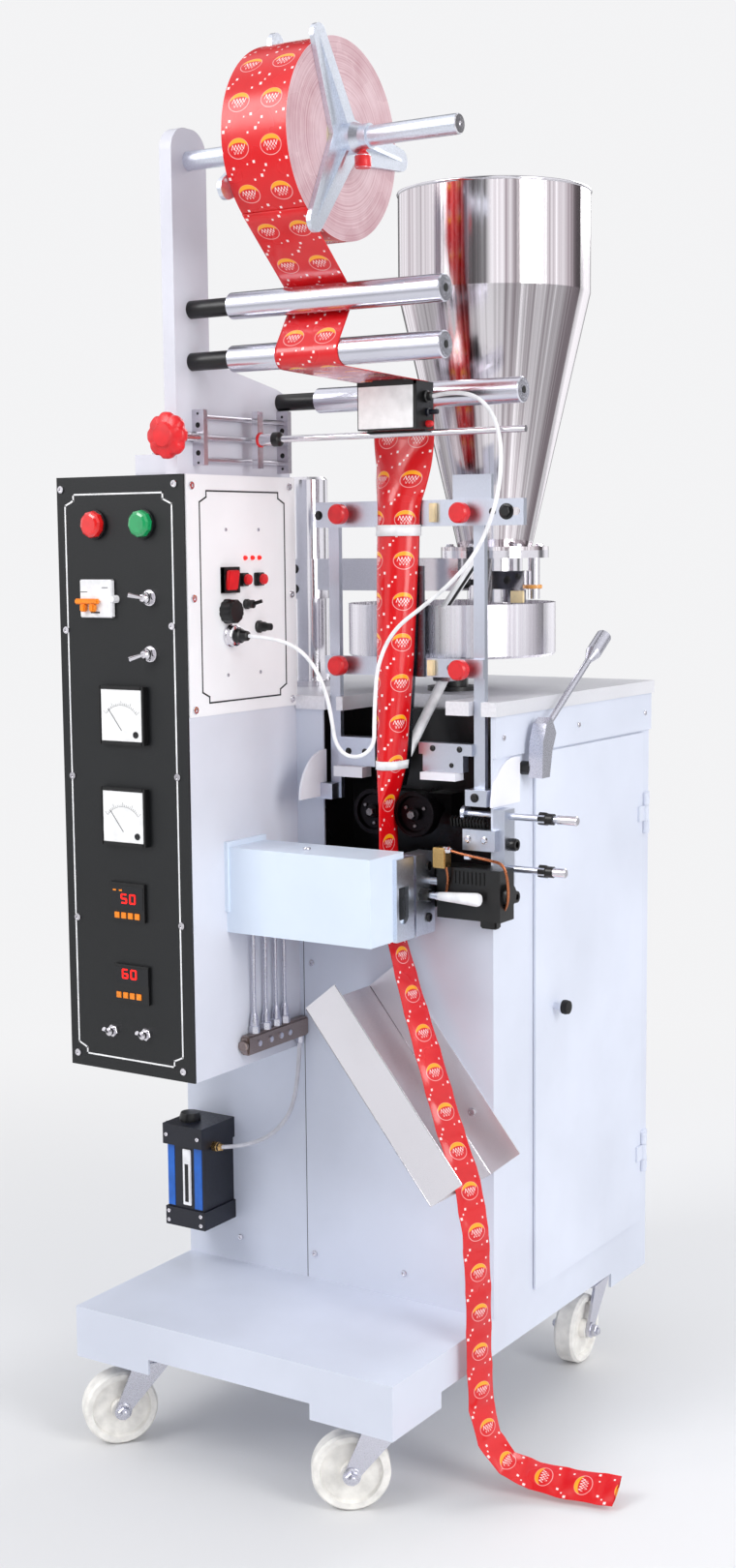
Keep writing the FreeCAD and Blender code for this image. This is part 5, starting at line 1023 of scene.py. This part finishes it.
# Floor, light and world
bm = bmesh.new()
bmesh.ops.create_grid(bm, x_segments=1, y_segments=1, size=12)
for v in bm.verts:
    v.co.z = -0.0005
me = bpy.data.meshes.new("floor")
bm.to_mesh(me)
bm.free()
floor = bpy.data.objects.new("floor", me)
bpy.context.scene.collection.objects.link(floor)
ground = bpy.data.materials.new("floor")
ground.use_nodes = True
tree = ground.node_tree
bsdf = tree.nodes["Principled BSDF"]
bsdf.inputs["Base Color"].default_value = linear((0.87, 0.87, 0.875))
bsdf.inputs["Roughness"].default_value = 0.75
me.materials.append(ground)
far = tree.nodes.new("ShaderNodeMapRange")
far.interpolation_type = "SMOOTHSTEP"
for key, v in (("From Min", 0.7), ("From Max", 2.4)):
    far.inputs[key].default_value = v
reach = tree.nodes.new("ShaderNodeVectorMath")
reach.operation = "LENGTH"
tree.links.new(tree.nodes.new("ShaderNodeTexCoord").outputs["Object"], reach.inputs[0])
tree.links.new(reach.outputs["Value"], far.inputs["Value"])
pale = tree.nodes.new("ShaderNodeEmission")
pale.inputs["Color"].default_value = (0.90, 0.90, 0.91, 1)
seen = tree.nodes.new("ShaderNodeLightPath")
both = tree.nodes.new("ShaderNodeMath")
both.operation = "MULTIPLY"
tree.links.new(seen.outputs["Is Camera Ray"], both.inputs[0])
tree.links.new(far.outputs["Result"], both.inputs[1])
fade = tree.nodes.new("ShaderNodeMixShader")
tree.links.new(both.outputs[0], fade.inputs[0])
tree.links.new(bsdf.outputs[0], fade.inputs[1])
tree.links.new(pale.outputs[0], fade.inputs[2])
tree.links.new(fade.outputs[0], tree.nodes["Material Output"].inputs["Surface"])


def lamp(name, at, aim, power, size, colour=(1, 1, 1)):
    data = bpy.data.lights.new(name, "AREA")
    data.energy = power
    data.shape = "RECTANGLE"
    data.size, data.size_y = size
    data.color = colour
    ob = bpy.data.objects.new(name, data)
    bpy.context.scene.collection.objects.link(ob)
    ob.location = at
    ob.rotation_euler = (Vector(aim) - Vector(at)).to_track_quat("-Z", "Y").to_euler()


lamp("key", (-1.6, -3.0, 3.2), (0, 0, 0.95), 72, (1.8, 1.8))
lamp("right", (3.2, -0.9, 2.0), (0, 0, 0.8), 56, (1.4, 2.2))
lamp("back", (0.4, 3.0, 2.8), (0, 0, 1.0), 40, (2.0, 1.6))
world = bpy.data.worlds.new("studio")
bpy.context.scene.world = world
world.use_nodes = True
wt = world.node_tree
back = wt.nodes["Background"]
back.inputs["Color"].default_value = (0.95, 0.96, 0.98, 1)
back.inputs["Strength"].default_value = 0.76


def sky(kind, **values):
    node = wt.nodes.new(kind)
    for key, v in values.items():
        setattr(node, key, v)
    return node


def sky_math(op, a, b):
    m = sky("ShaderNodeMath", operation=op)
    for v, s in ((a, m.inputs[0]), (b, m.inputs[1])):
        if isinstance(v, bpy.types.NodeSocket):
            wt.links.new(v, s)
        else:
            s.default_value = v
    return m.outputs[0]


# Bright metal mirrors a studio of light panels with darker gaps between them
paths = sky("ShaderNodeLightPath")
aim = sky("ShaderNodeSeparateXYZ")
wt.links.new(sky("ShaderNodeTexCoord").outputs["Generated"], aim.inputs[0])
heading = sky_math("ARCTAN2", aim.outputs["Y"], aim.outputs["X"])
bands = sky_math("ADD", sky_math("SINE", sky_math("MULTIPLY", heading, 5.0), 0.0),
                 sky_math("MULTIPLY", sky_math("SINE", sky_math("ADD", sky_math("MULTIPLY", heading, 2.0), 0.9), 0.0), 0.8))
tone = sky("ShaderNodeMapRange", interpolation_type="SMOOTHSTEP")
for key, v in (("From Min", -0.9), ("From Max", 0.1), ("To Min", 0.16), ("To Max", 1.12)):
    tone.inputs[key].default_value = v
wt.links.new(bands, tone.inputs["Value"])
mirror = wt.nodes.new("ShaderNodeBackground")
mirror.inputs["Color"].default_value = (0.96, 0.96, 0.99, 1)
wt.links.new(tone.outputs["Result"], mirror.inputs["Strength"])
bright = wt.nodes.new("ShaderNodeBackground")
bright.inputs["Color"].default_value = (0.90, 0.90, 0.91, 1)
glossy = wt.nodes.new("ShaderNodeMixShader")
wt.links.new(paths.outputs["Is Glossy Ray"], glossy.inputs[0])
wt.links.new(back.outputs[0], glossy.inputs[1])
wt.links.new(mirror.outputs[0], glossy.inputs[2])
mixer = wt.nodes.new("ShaderNodeMixShader")
wt.links.new(paths.outputs["Is Camera Ray"], mixer.inputs[0])
wt.links.new(glossy.outputs[0], mixer.inputs[1])
wt.links.new(bright.outputs[0], mixer.inputs[2])
wt.links.new(mixer.outputs[0], wt.nodes["World Output"].inputs["Surface"])
bpy.context.scene.view_settings.view_transform = "Standard"
